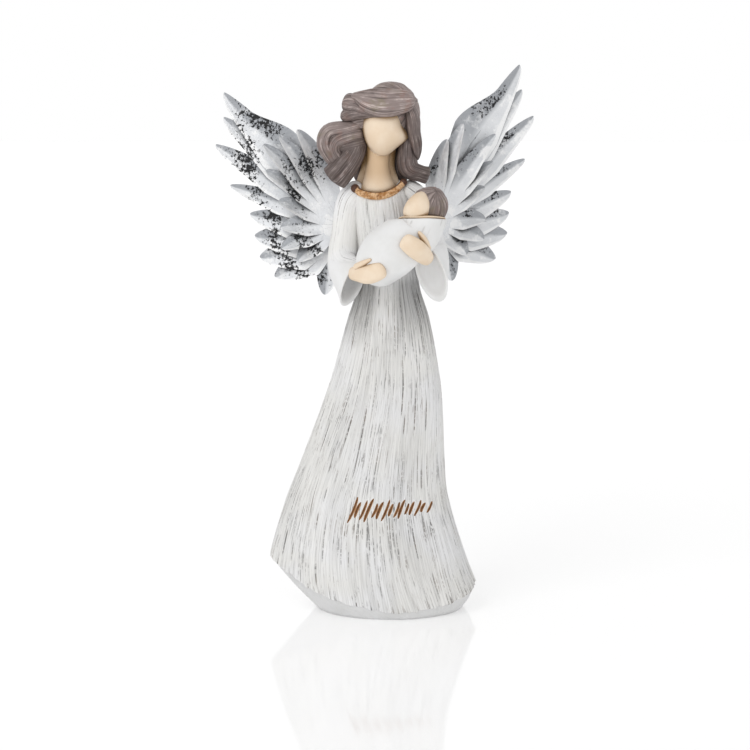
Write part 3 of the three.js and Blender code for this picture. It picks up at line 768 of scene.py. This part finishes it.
def egg(middle, half_sizes, pole=(0, 0, 1), columns=EGG_COLUMNS, rows=EGG_ROWS):
    """Rings of an ellipsoid from one pole to the other: a sphere whose poles lie along the given way,
    scaled along x, y and z."""
    pole = np.asarray(pole, float) / np.linalg.norm(pole)
    spare = np.array([1.0, 0, 0]) if abs(pole[0]) < 0.6 else np.array([0, 0, 1.0])
    wide = np.cross(spare, pole)
    wide /= np.linalg.norm(wide)
    thick = np.cross(pole, wide)
    fall = np.linspace(0.03, math.pi - 0.03, rows)[:, None, None]
    turn = (2 * math.pi * np.arange(columns) / columns)[None, :, None]
    ball = -np.cos(fall) * pole + np.sin(fall) * (np.cos(turn) * wide + np.sin(turn) * thick)
    return np.asarray(middle, float) + ball * np.asarray(half_sizes, float)


def hair_finish(name, low, high):
    """Brown hair: dark in the cuts between strands, dry-brushed pale along their tops, with a few warm
    and greenish tints, painted shade that darkens it from a high level down to a low one, and painted
    shade in its creases."""
    light, middle, dark = paint(208, 192, 187), paint(146, 131, 127), paint(56, 44, 40)
    material, wire, shader = new_finish(name)
    place = place_in_mm(wire)
    flow = wire.node("ShaderNodeUVMap", {"uv_map": "flow"}, {})
    groove = painted(wire, "groove")
    strand = drawn_out(wire, flow, 2.0, 0.07, 3.0, 0.6)
    fine = drawn_out(wire, flow, 3.2, 0.15)
    brushed = noise(wire, place, 0.35, 3.0).step(0.38, 0.62)
    warm = noise(wire, place, 0.22, 2.0).step(0.54, 0.7)
    olive = noise(wire, stretched(wire, place, (1, 1, 1.4)), 0.13, 2.0).step(0.56, 0.72)
    crease = sheltered(wire, 5)
    height = wire.node("ShaderNodeSeparateXYZ", {}, {0: place}, out="Z")
    # painted shade: darker from the high level down to the low one
    lower = 1 - height.step(low, high)
    tint = (0.4 * warm).mix(middle, paint(152, 112, 98))
    tint = (0.4 * olive).mix(tint, paint(128, 120, 84))
    tint = (0.7 * lower).mix(tint, paint(62, 50, 46))
    brush = strand.step(0.5, 0.64) + 0.5 * fine.step(0.55, 0.66)
    # less dry-brushing where the painted shade lies
    colour = (brush * (0.25 + 0.75 * brushed) * (1 - 0.6 * lower)).mix(tint, light)
    colour = (0.6 * (1 - strand).step(0.54, 0.66)).mix(colour, dark)
    colour = (0.7 * groove.step(0.05, 0.9)).mix(colour, dark)
    # painted shade in creases, found by occlusion
    colour = (0.8 * crease.step(0.25, 0.85)).mix(colour, dark)
    relief = bump(wire, strand + 0.4 * fine, 0.3)
    wire.feed(shader, {"Base Color": colour, "Roughness": 0.5 + 0.2 * strand, "Normal": relief})
    return material


hair_brown = hair_finish("hair_brown", 166, 198)
hair_shaded = hair_finish("hair_shaded", 178, 226)
baby_brown = hair_finish("baby_hair_brown", 148, 176)

blanket = limb(
    BUNDLE,
    BUNDLE_ACROSS,
    BUNDLE_COLUMNS,
    BUNDLE_ROWS,
    start_dome=0.2,
    end_dome=0,
    facing=BUNDLE_FACING,
    turn_from=0.7,
)
upper = smooth((np.linspace(0, 1, BUNDLE_ROWS) - 0.5) / 0.35)[:, None]
gathers = scored(31, BUNDLE_ROWS, BUNDLE_COLUMNS, (4, 9), 8, 0.4, 0.9) * upper
dents = DENT_DEPTH * wobble(32, BUNDLE_ROWS, BUNDLE_COLUMNS, 6, 10)
blanket = raised(blanket, dents - GATHER_DEPTH * gathers)
mouth_slope = BUNDLE_FACING[1] / BUNDLE_FACING[2]
mouth_plane = BUNDLE[-1][2] - mouth_slope * (blanket[..., 1] - BUNDLE[-1][1])
blanket[..., 2] = np.minimum(blanket[..., 2], mouth_plane + MOUTH_ROUGHNESS)
# painted shade on the low end of the bundle, where it meets the gown
low_side = 0.5 * smooth((139 - blanket[..., 2]) / 8) * smooth((blanket[..., 0] + 4) / 8)
blanket = with_mouth(blanket, BUNDLE_FACING, BUNDLE_MOUTH)
mouth_bare = np.zeros((len(BUNDLE_MOUTH), BUNDLE_COLUMNS))
figure_parts.append(
    cast(
        "blanket",
        blanket,
        [plain_white],
        groove=np.concatenate([gathers, mouth_bare]),
        wash_and_shade=np.concatenate([low_side, mouth_bare]),
    )
)
baby_face = egg(BABY_FACE["middle"], BABY_FACE["half_sizes"])
baby_height = (baby_face[..., 2] - BABY_FACE["middle"][2]) / BABY_FACE["half_sizes"][2]
narrow = (baby_face[..., 0] - BABY_FACE["middle"][0]) * BABY_FACE["narrowing"] * baby_height
baby_face[..., 0] += BABY_FACE["lean"] * baby_height - narrow
collar = egg(COLLAR["middle"], COLLAR["half_sizes"])
collar[..., 2] -= mouth_slope * (collar[..., 1] - COLLAR["middle"][1])
for k, rings in enumerate((collar, baby_face)):
    rings = raised(rings, 0.1 * wobble(33 + k, EGG_ROWS, EGG_COLUMNS, 6, 8))
    figure_parts.append(cast(f"baby_skin_{k}", rings, [flesh]))
baby_cap = egg(BABY_CAP["middle"], BABY_CAP["half_sizes"], pole=BABY_CAP["crown"])
baby_strands = scored(35, EGG_ROWS, EGG_COLUMNS, (2, 4), 6, 0.3, 0.8)
baby_cap = raised(baby_cap, 0.25 * wobble(36, EGG_ROWS, EGG_COLUMNS, 6, 12) - 0.28 * baby_strands)
figure_parts.append(cast("baby_hair", baby_cap, [baby_brown], groove=baby_strands, around=30.0))

# The head: a neck that spreads into the shoulders, with a fold down each side of it, and an egg-shaped
# blank face that widens towards one ear. All of it belongs to the casting, in the same flesh paint.
NECK = [
    [-4.6, -1.2, 163, 9.6, 6.6],
    [-4.6, -1.0, 167.6, 8.8, 6.8],
    [-4.8, -0.9, 171.6, 6.2, 6.2],
    [-5.0, -0.9, 177, 4.7, 4.8],
    [-4.8, -0.6, 183, 4.8, 4.6],
    [-4.4, -1.0, 190, 5.4, 5.2],
]
NECK_SIDES = [
    [-4.8, 1.4, 168, 9.6, 4.5],
    [-4.9, 2.2, 173, 8.0, 3.6],
    [-4.8, 2.0, 178.5, 6.6, 3.4],
    [-4.2, 1.6, 190, 7.2, 3.6],
]
FACE = {"middle": (-3.2, -3.2, 193.4), "half_sizes": (7.9, 8.4, 11.6), "narrowing": 0.07}
JAW = {"z": 188.8, "reach": 3.9, "spread": 3.6}

neck = limb(NECK, (1, 0, 0), 64, 44)
# ochre painted shade, deepening up the neck and its sides towards the chin
neck_shade = smooth((neck[..., 2] - 168) / 8)
figure_parts.append(cast("neck", neck, [flesh], wash_and_shade=neck_shade))
neck_sides = limb(NECK_SIDES, (1, 0, 0), 56, 36)
neck_side_shade = smooth((neck_sides[..., 2] - 170) / 6)
figure_parts.append(cast("neck_sides", neck_sides, [flesh], wash_and_shade=neck_side_shade))
face = egg(FACE["middle"], FACE["half_sizes"], columns=80, rows=60)
face_height = (face[..., 2] - FACE["middle"][2]) / FACE["half_sizes"][2]
face_side = (face[..., 0] - FACE["middle"][0]) / FACE["half_sizes"][0]
jaw = np.exp(-(((face[..., 2] - JAW["z"]) / JAW["spread"]) ** 2)) * np.maximum(face_side, 0) ** 2
taper = (face[..., 0] - FACE["middle"][0]) * FACE["narrowing"] * face_height
face[..., 0] += taper + JAW["reach"] * jaw
figure_parts.append(cast("face", face, [flesh]))

# The neckline trim: a crescent of the casting let in between the neck and the bodice, painted a speckled
# gold brown, that ends in a round dark knot at each side.
TRIM = [
    [-13.7, -4.8, 169.2, 1.2, 1.0],
    [-11.7, -7.0, 167.7, 1.4, 1.0],
    [-8.6, -8.7, 166.8, 1.5, 1.0],
    [-5, -9.3, 166.5, 1.5, 1.0],
    [-1.4, -8.8, 167.1, 1.5, 1.0],
    [2.2, -7.2, 168.8, 1.4, 1.0],
    [5.2, -4.4, 171.5, 1.2, 1.0],
]
TRIM_COLUMNS = 20
TRIM_ROWS = 80
KNOT_COLUMNS = 24
KNOT_ROWS = 16
KNOTS = [((-13.8, -4.8, 169.2), 1.75), ((5.2, -4.4, 171.6), 1.5)]


def trim_finish():
    """Gold-brown paint sponged on: pale gold patches, dark specks, painted shade along the top edge and
    towards the ends, and nearly black at the knots.
    """
    material, wire, shader = new_finish("speckled_gold")
    place = place_in_mm(wire)
    patch = noise(wire, place, 0.55, 3.0, 0.6)
    speck = noise(wire, place, 1.6, 2.0).step(0.56, 0.64)
    gold = patch.step(0.38, 0.62).mix(paint(172, 118, 62), paint(226, 186, 142))
    gold = (0.6 * speck).mix(gold, paint(110, 68, 34))
    dark = painted(wire, "wash_and_shade") + 0.3 * patch
    colour = dark.step(0.3, 1.0).mix(gold, paint(78, 46, 28))
    relief = bump(wire, patch, 0.15)
    wire.feed(shader, {"Base Color": colour, "Roughness": 0.4 + 0.3 * patch, "Normal": relief})
    return material


speckled_gold = trim_finish()
crescent = limb(TRIM, (0, 0.35, 1), TRIM_COLUMNS, TRIM_ROWS, start_dome=0.03, end_dome=0.03)
crescent = raised(crescent, 0.1 * wobble(41, TRIM_ROWS, TRIM_COLUMNS, 20, 6))
# painted shade along the trim's top edge, where it meets the neck, and towards its ends under the hair
top_edge = 0.8 * smooth((np.cos(2 * math.pi * np.arange(TRIM_COLUMNS) / TRIM_COLUMNS) - 0.5) / 0.4)
shade = np.maximum(np.abs(np.linspace(-1, 1, TRIM_ROWS))[:, None] ** 6, top_edge)
figure_parts.append(cast("trim", crescent, [speckled_gold], wash_and_shade=shade))
for k, (middle, radius) in enumerate(KNOTS):
    knot = egg(middle, (radius, radius, radius), columns=KNOT_COLUMNS, rows=KNOT_ROWS)
    figure_parts.append(cast(f"knot_{k}", knot, [speckled_gold], wash_and_shade=1.0))

# The hair: wind-blown waves of the casting, carved into strands. A cap parted on the figure's left, a
# fringe swept across the brow over a layer that flares out, a wave and a cut lock below it, a lock and a
# flipped curl on the other side, and loose locks down the back.
CAP = {"middle": (0.2, 3.4, 198.4), "half_sizes": (11.6, 11.8, 12.6), "parting": (0.69, -0.63, 0.36)}
LOCKS = {
    "fringe": [
        [9.4, -6.4, 203.8, 2.6, 3.2],
        [3.4, -10.4, 203.3, 2.8, 4.9],
        [-3, -11.5, 203, 2.8, 5.6],
        [-8.4, -10, 203.9, 2.7, 4.6],
        [-12.6, -7.2, 205.2, 2.4, 2],
        [-15.4, -5.4, 205.6, 1.6, 0.8],
    ],
    "brow_layer": [
        [4, -8.6, 199, 2.4, 1.3],
        [-4, -9.8, 198.7, 2.4, 1.8],
        [-10, -7.8, 200, 2.8, 3],
        [-14.2, -5.6, 201.9, 2.9, 4.4],
        [-19, -4.6, 202.3, 2.2, 4.4],
    ],
    "brow_flare": [
        [-5, -8.8, 198.4, 2.4, 1.6],
        [-10.4, -7.2, 198.6, 2.8, 2.2],
        [-15, -5.4, 198.4, 2.8, 2.9],
        [-19.4, -4.2, 196.8, 2.2, 2.4],
    ],
    "wave": [
        [-10, -0.5, 194.4, 3.6, 3],
        [-17.4, -3.2, 192.6, 4.8, 3.2],
        [-24, -3.2, 191.2, 4.6, 3.4],
        [-25.6, -2.8, 186.2, 4.4, 3.4],
        [-22.6, -2.4, 180.6, 4, 3],
        [-19.4, -2.4, 176.6, 3, 2],
    ],
    "wave_middle": [
        [-10.6, -1.2, 190.6, 3.6, 3.2],
        [-16.4, -3.8, 189.6, 4.8, 3.2],
        [-21, -3.8, 187.6, 4.6, 3],
        [-22, -3.4, 184, 4.2, 2.8],
        [-19.4, -3, 179.6, 3.6, 2.4],
    ],
    "wave_core": [
        [-10.8, -0.8, 187.4, 3.6, 4.6],
        [-15, -2.8, 186.4, 4.4, 4.4],
        [-21.4, -2.4, 185, 3.4, 3.2],
    ],
    "wave_root": [
        [-5, 0, 197, 5, 5],
        [-11, -1.6, 195.6, 5, 4.4],
        [-16.5, -2.2, 194.6, 3.6, 2.6],
    ],
    "cut_lock": [
        [-11.4, -0.8, 190.4, 3, 3],
        [-14, -3.4, 183.4, 3.8, 4.4],
        [-18.4, -5, 177.2, 3.4, 5.2],
        [-23, -5.4, 172.2, 2.4, 5.7],
    ],
    "temple_lock": [
        [-10.5, 2.4, 202, 4.4, 2.4],
        [-12.8, 2, 193, 5, 2.6],
        [-13.6, 1.6, 184, 4.6, 2.4],
        [-13.4, 1.4, 176.5, 3, 1.6],
    ],
    "side_lock": [
        [6.2, -4.5, 203.6, 3.6, 2],
        [8.6, -4.6, 197, 5, 2.9],
        [9.2, -4, 191.4, 5, 2.7],
        [10.2, -2.6, 186.2, 4.6, 2.4],
        [10.9, -1.8, 180.2, 2.8, 1.1],
    ],
    "curl": [
        [7.6, 0.5, 193, 4.6, 3],
        [6.6, -1.4, 181.6, 4.6, 4],
        [7.8, -1.8, 176.6, 4.2, 4],
        [12, -1, 174.8, 3.4, 3.4],
        [15.4, -0.4, 173.8, 2.6, 3.7],
    ],
}
SQUARE_ENDED = ("cut_lock", "curl")
# these locks take the copy of the hair paint with more painted shade, to sit darker than the locks over
# them
SHADED = ("brow_layer", "brow_flare", "wave_core", "cut_lock", "side_lock", "curl", "temple_lock")
BACK_LOCKS = (-9.5, -2.5, 4.5)
STRAND_DEPTH = 0.22
FRINGE_SQUARE = 3.0
CAP_COLUMNS = 132
CAP_ROWS = 60
LOCK_COLUMNS = 64
LOCK_ROWS = 40

cap = egg(CAP["middle"], CAP["half_sizes"], CAP["parting"], CAP_COLUMNS, CAP_ROWS)
cap_strands = scored(51, CAP_ROWS, CAP_COLUMNS, (2, 5), 9, 0.35, 0.85)
away_from_poles = smooth(np.sin(np.linspace(0, math.pi, CAP_ROWS)) / 0.5)[:, None]
cap_relief = 0.2 * wobble(52, CAP_ROWS, CAP_COLUMNS, 8, 26) - STRAND_DEPTH * cap_strands
cap = raised(cap, away_from_poles * cap_relief)
figure_parts.append(cast("hair_cap", cap, [hair_brown], groove=cap_strands, around=60.0))


def lock(name, stations, across, seed, end_dome):
    """One lock: an oval along its curve, with rounded ribs and cut strands that run its whole length."""
    square = FRINGE_SQUARE if name == "fringe" else 2.0
    rings = limb(stations, across, LOCK_COLUMNS, LOCK_ROWS, end_dome=end_dome, square=square)
    strands = scored(seed, LOCK_ROWS, LOCK_COLUMNS, (2, 5), 6, 0.35, 0.85)
    ribs = 0.16 * wobble(seed + 1, LOCK_ROWS, LOCK_COLUMNS, 4, 18)
    slim = np.minimum(np.array(stations)[:, 3:].min() / 2.4, 1)
    rings = raised(rings, slim * (ribs - STRAND_DEPTH * strands))
    finish = hair_shaded if name in SHADED else hair_brown
    return cast(name, rings, [finish], groove=strands, around=26.0)


for k, (name, stations) in enumerate(LOCKS.items()):
    end_dome = 0.08 if name in SQUARE_ENDED else 0.16
    figure_parts.append(lock(name, stations, (0, 1, 0), 60 + 2 * k, end_dome))
for k, x in enumerate(BACK_LOCKS):
    stations = [
        [x, 8.4, 201, 4.6, 4],
        [x - 0.8, 8.2, 189, 5, 4],
        [x - 1.2, 6.4, 179, 4.8, 3.8],
        [x - 2 + k, 5.6, 170, 3.2, 2.4],
    ]
    figure_parts.append(lock(f"back_lock_{k}", stations, (1, 0, 0), 80 + 2 * k, 0.2))

# The casting: gown, sleeves, hands, baby, head and hair come out of one mould, so they are joined into
# one skin here. The back is left flat where the wings are fixed, and the engraving is cut last.
WING_SEAT = {"y": 7.4, "bottom": 140, "top": 164, "half_width": 20, "depth": 20}
SMOOTH_UP_TO = math.radians(58)


def joined(name, first, others, cutters=()):
    """One closed skin: the union of all the parts less the cutters, with the edges kept crisp where two
    surfaces meet steeply."""
    for operation, tools in (("UNION", others), ("DIFFERENCE", cutters)):
        for tool in tools:
            cut = first.modifiers.new(tool.name, "BOOLEAN")
            cut.operation = operation
            cut.solver = "MANIFOLD"
            cut.material_mode = "TRANSFER"
            cut.object = tool
    solved = first.evaluated_get(bpy.context.evaluated_depsgraph_get())
    mesh = bpy.data.meshes.new_from_object(solved)
    for used in (first, *others, *cutters):
        bpy.data.objects.remove(used)
    mesh.name = name
    mesh.shade_smooth()
    mesh.set_sharp_from_angle(angle=SMOOTH_UP_TO)
    whole = bpy.data.objects.new(name, mesh)
    scene.collection.objects.link(whole)
    return whole


seat_turn = math.pi / 4 + math.pi / 2 * np.arange(4)
seat_square = np.stack([np.sign(np.cos(seat_turn)), np.sign(np.sin(seat_turn)), 0 * seat_turn], axis=-1)
seat_middle = [0, WING_SEAT["y"] + WING_SEAT["depth"] / 2, 0]
seat_ring = seat_square * [WING_SEAT["half_width"], WING_SEAT["depth"] / 2, 0] + seat_middle
seat_heights = np.array([WING_SEAT["bottom"], WING_SEAT["top"]])[:, None, None]
seat_rings = seat_ring + np.array([0, 0, 1]) * seat_heights
figure_cutters.append(cast("wing_seat", seat_rings, [plain_white]))

figure = joined("angel_casting", gown, figure_parts, figure_cutters)
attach(figure, "root")
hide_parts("figure")

# The wings: two stamped tin sheets each side, long feathers behind and short ones in front, every feather
# creased down its middle and standing forward along its lower edge. They are covered in crinkled silver
# leaf, broken away to black in clusters, and glued on by a flat tab that lies on the flat of the back.
SHEET = {"thickness": 0.7, "stagger": 0.05, "bend": 3, "lift": 0.16, "turned": 0.6, "taper": 0.5}
SHEETS = {
    "short": {"y": 3.1, "tab_y": 0.8, "valley": 0.7, "tilt": 2.0, "worn_at": 0.6},
    "long": {"y": 5.7, "tab_y": 1.6, "valley": 0.8, "tilt": 0.7, "worn_at": 0.72},
}
TAB = (180, 17, 6.5, 6.5, 0)
TAB_START = -8
TAB_STEP = {"from": 1.0, "over": 7.0}
ROOT_WIDTH = {"share": 0.2, "widening": 1.6}
SHOULDER_ENDS = {"at": 0.8, "over": 0.3}
SHAPED = {"from": 0.2, "over": 0.4, "tip": 2.2}
# painted highlight along each feather's lower edge, from a share of the way across
RIM_HIGHLIGHT = {"from": -0.72, "over": 0.12}
WORN_OVER = 0.17
WHITE_END = {"at": 0.78, "over": 0.1}
# painted highlight near the wing's root, within a reach in millimetres
ROOT_HIGHLIGHT = {"to": 11, "over": 5}
WINGS = {
    "right": {
        "side": -1,
        "x": -20,
        "z": 152,
        "sweep": {"long": 16, "short": 12},
        "worn": 1.0,
        "worn_above": 0.0,
        "white_ends": 0.2,
    },
    "left": {
        "side": 1,
        "x": 18.2,
        "z": 154,
        "sweep": {"long": 28, "short": 23},
        "worn": 0.8,
        "worn_above": 0.8,
        "white_ends": 0.8,
    },
}
# each feather: its angle above level in degrees, its length, its widths below and above the spine, and the
# width of the shoulder that the leading feather has in front of it
FEATHERS = {
    "right": {
        "long": [
            (49, 71.5, 15.5, 2.2, 6.5),
            (43, 64.5, 12.3, 3.5, 0),
            (33, 60.4, 11.2, 3.5, 0),
            (20.3, 47.7, 8.9, 3.5, 0),
            (8, 37, 13, 3.5, 0),
            (-6, 35, 17, 3.5, 0),
            (-20.6, 35, 18, 3.5, 0),
            (-37, 33.4, 16, 4, 0),
            (-77, 27.6, 9, 7, 0),
        ],
        "short": [
            (66.3, 43, 5, 8, 0),
            (56.6, 44.2, 6, 5.5, 0),
            (47.5, 45.5, 7, 5, 0),
            (37.5, 37.8, 5, 6, 0),
            (24, 27, 5.5, 6, 0),
            (0.8, 24, 6, 6.5, 0),
            (-19.5, 25, 5.5, 6.5, 0),
            (-37.8, 21.6, 6, 6.5, 0),
        ],
    },
    "left": {
        "long": [
            (61.4, 71.8, 15, 2.2, 7.5),
            (56.3, 63.7, 12, 3.5, 0),
            (46.2, 58.4, 11, 3.5, 0),
            (33.9, 44.5, 8.5, 3.5, 0),
            (20.6, 33.4, 11, 3.5, 0),
            (5.9, 30.6, 14, 3.5, 0),
            (-9.8, 30.2, 15, 3.5, 0),
            (-31.7, 29.3, 14, 4, 0),
            (-73.6, 24.4, 8.5, 6.5, 0),
        ],
        "short": [
            (82, 34, 5, 7, 0),
            (74.5, 41.3, 6, 5.5, 0),
            (55.5, 43, 7, 5, 0),
            (46, 33.8, 5, 6, 0),
            (35, 24.6, 5.5, 6, 0),
            (3.6, 20.4, 6, 6.5, 0),
            (-19, 21, 5.5, 6.5, 0),
            (-45, 18, 6, 6.5, 0),
        ],
    },
}
BLADE_ROWS = 44
BLADE_ACROSS = 13


def leaf_finish():
    """Silver leaf on tin: crinkled grey metal, with painted shade on the upper side of each feather's
    crease and a painted highlight along its lower edge, white where the leaf is thick, white patches and
    glints that are partly painted highlight, black flecks in clusters where it has broken away, and
    painted shade wherever one feather shelters another."""
    material, wire, shader = new_finish("silver_leaf")
    place = place_in_mm(wire)
    wear = painted(wire, "wash_and_shade")
    half = painted(wire, "groove")
    worn = wear.math("MAXIMUM", wear, 0.0)
    # below 0: white where the leaf is thick, and a painted highlight near the root
    thick_leaf_and_root_highlight = (0.0 - wear).step(0.0, 1.0)
    # painted shade on the upper side of each crease, and a painted highlight along the lower edge
    upper = half.math("MAXIMUM", half, 0.0)
    rim_highlight = (0.0 - half).step(0.2, 0.8)
    cloud = noise(wire, place, 0.07, 3.0)
    crinkle = noise(wire, place, 0.9, 5.0, 0.65)
    leafy = noise(wire, place, 0.13, 5.0, 0.65) + 0.25 * crinkle + 0.14 * thick_leaf_and_root_highlight
    bright = leafy.step(0.66, 0.8)
    cluster = noise(wire, place, 0.1, 3.0, 0.55).step(0.34, 0.6)
    fleck = noise(wire, place, 0.85, 5.0, 0.7) + (0.08 + 0.18 * cluster) * worn - 0.1 * thick_leaf_and_root_highlight
    black = fleck.step(0.69, 0.71)
    # glints: painted highlight specks near the flecks
    sparkle = noise(wire, stretched(wire, place, (1, 1, 1.3)), 1.0, 4.0, 0.7)
    glint = (sparkle + 0.1 * cluster * worn).step(0.71, 0.74)
    crease = sheltered(wire, 4, local=False)
    grey = cloud.step(0.3, 0.7).mix(paint(236, 237, 239), paint(220, 222, 225))
    # painted shade on the upper side of the crease
    grey = (0.85 * upper).mix(grey, paint(156, 159, 164))
    white = paint(252, 252, 252)
    # white patches, partly thick leaf and partly painted highlight on the crinkles, fewer under the
    # painted shade
    silver = (0.9 * bright * (1 - 0.5 * upper)).mix(grey, white)
    # painted highlight along the lower edge, and the painted glints
    silver = (0.85 * rim_highlight + 0.8 * glint).mix(silver, white)
    # painted shade and shadow wherever one feather shelters another, found by occlusion
    silver = (0.9 * crease.step(0.16, 0.55)).mix(silver, paint(44, 44, 46))
    colour = black.mix(silver, paint(24, 24, 26))
    metal = (0.6 - 0.4 * bright) * (1 - black)
    rough = 0.36 + 0.2 * crinkle + 0.2 * black
    relief = bump(wire, crinkle - 0.6 * black, 0.35)
    wire.feed(shader, {"Base Color": colour, "Metallic": metal, "Roughness": rough, "Normal": relief})
    return material


def blade(feather, index, wing, sheet, sweep, seed, start=0.0, lift=SHEET["lift"]):
    """One feather: a thin strip along a bent spine from the wing's root to the tip, whose widths either
    side of the spine fall to nothing at the tip as a power of the distance left. It folds back to a
    crease down its middle, stands forward along its lower edge, and leans back the further out it
    goes. Gives its rings, how worn each point is (less than 0 where the leaf is thick, and near the
    root where a painted highlight lies), and where painted light goes: 1 for painted shade above the
    crease, and -1 for a painted highlight along the lower edge."""
    angle, length, below, above, shoulder = feather
    base = math.radians(angle)
    arm = base + lift
    left = np.linspace(1, 0.02, BLADE_ROWS)[:, None] ** (1 / SHEET["taper"])
    t = 1 - left
    root = start * np.array([math.cos(base), math.sin(base)])
    bend = SHEET["turned"] * length * np.array([math.cos(arm), math.sin(arm)])
    tip = length * np.array([math.cos(base), math.sin(base)])
    middle = (1 - t) ** 2 * root + 2 * t * (1 - t) * bend + t**2 * tip
    along = (1 - t) * (bend - root) + t * (tip - bend)
    along /= np.linalg.norm(along, axis=1, keepdims=True)
    narrowing = left ** SHEET["taper"]
    wide = np.minimum(1, ROOT_WIDTH["share"] + ROOT_WIDTH["widening"] * t)
    low_edge = -below * narrowing * wide
    shoulder_left = shoulder * smooth((SHOULDER_ENDS["at"] - t) / SHOULDER_ENDS["over"])
    high_edge = (above * narrowing + shoulder_left) * wide
    crease = (low_edge + high_edge) / 2
    across = np.linspace(-1, 1, BLADE_ACROSS)[None, :]
    offset = crease + np.abs(across) * (np.where(across < 0, low_edge, high_edge) - crease)
    from_root = smooth((t - SHAPED["from"]) / SHAPED["over"])
    shaped = from_root * np.minimum(1, SHAPED["tip"] * narrowing)
    relief = shaped * (sheet["valley"] * np.abs(across) ** 1.2 - sheet["tilt"] * across)
    relief = relief + 0.12 * shaped * wobble(seed, BLADE_ROWS, BLADE_ACROSS, 12, 6)
    out = middle[:, :1] - along[:, 1:] * offset
    up = middle[:, 1:] + along[:, :1] * offset
    if feather is TAB:
        relief = (sheet["y"] - sheet["tab_y"]) * smooth((TAB_STEP["from"] - out) / TAB_STEP["over"])
    slope = math.tan(math.radians(sweep))
    back = slope * (out + np.hypot(out, SHEET["bend"])) / 2 - relief - SHEET["stagger"] * index
    front_face = np.stack([wing["side"] * out, back - SHEET["thickness"], up], axis=-1)
    back_face = np.stack([wing["side"] * out, back, up], axis=-1)
    upper = smooth((across + 0.1) / 0.2) * from_root
    worn = np.exp(-(((t - sheet["worn_at"]) / WORN_OVER) ** 2)) * wing["worn"]
    worn = worn * (1 - wing["worn_above"] * (1 - upper))
    white_end = wing["white_ends"] * np.exp(-(((t - WHITE_END["at"]) / WHITE_END["over"]) ** 2))
    # painted highlight near the root, laid in with the thick leaf
    root_highlight = smooth((ROOT_HIGHLIGHT["to"] - np.hypot(out, up)) / ROOT_HIGHLIGHT["over"])
    wear = worn - np.maximum(white_end * (1 - upper), root_highlight)
    # 1 for painted shade above the crease, below 0 for the painted highlight along the lower edge
    half = upper - smooth((RIM_HIGHLIGHT["from"] - across) / RIM_HIGHLIGHT["over"]) * from_root
    pairs = ((front_face, back_face), (wear, wear), (half, half))
    faces = [np.concatenate([front, behind[:, ::-1]], axis=1) for front, behind in pairs]
    return [face[:, ::-1] for face in faces] if wing["side"] > 0 else faces


silver_leaf = leaf_finish()
for k, (wing_name, wing) in enumerate(WINGS.items()):
    for j, (sheet_name, sheet) in enumerate(SHEETS.items()):
        sweep = wing["sweep"][sheet_name]
        root = np.array([wing["x"], WING_SEAT["y"] + sheet["y"], wing["z"]])
        seed = 100 + 40 * k + 20 * j
        blades = [blade(TAB, 0, wing, sheet, sweep, seed, TAB_START, 0.0)]
        for i, feather in enumerate(FEATHERS[wing_name][sheet_name]):
            blades.append(blade(feather, i, wing, sheet, sweep, seed + 1 + i))
        parts = [
            cast(f"blade_{i}", rings + root, [silver_leaf], groove=half, wash_and_shade=wear, around=20.0)
            for i, (rings, wear, half) in enumerate(blades)
        ]
        feather_sheet = joined(f"{wing_name}_{sheet_name}_feather_sheet", parts[0], parts[1:])
        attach(feather_sheet, "root")
        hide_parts(f"{wing_name}_wing_{sheet_name}_feathers")
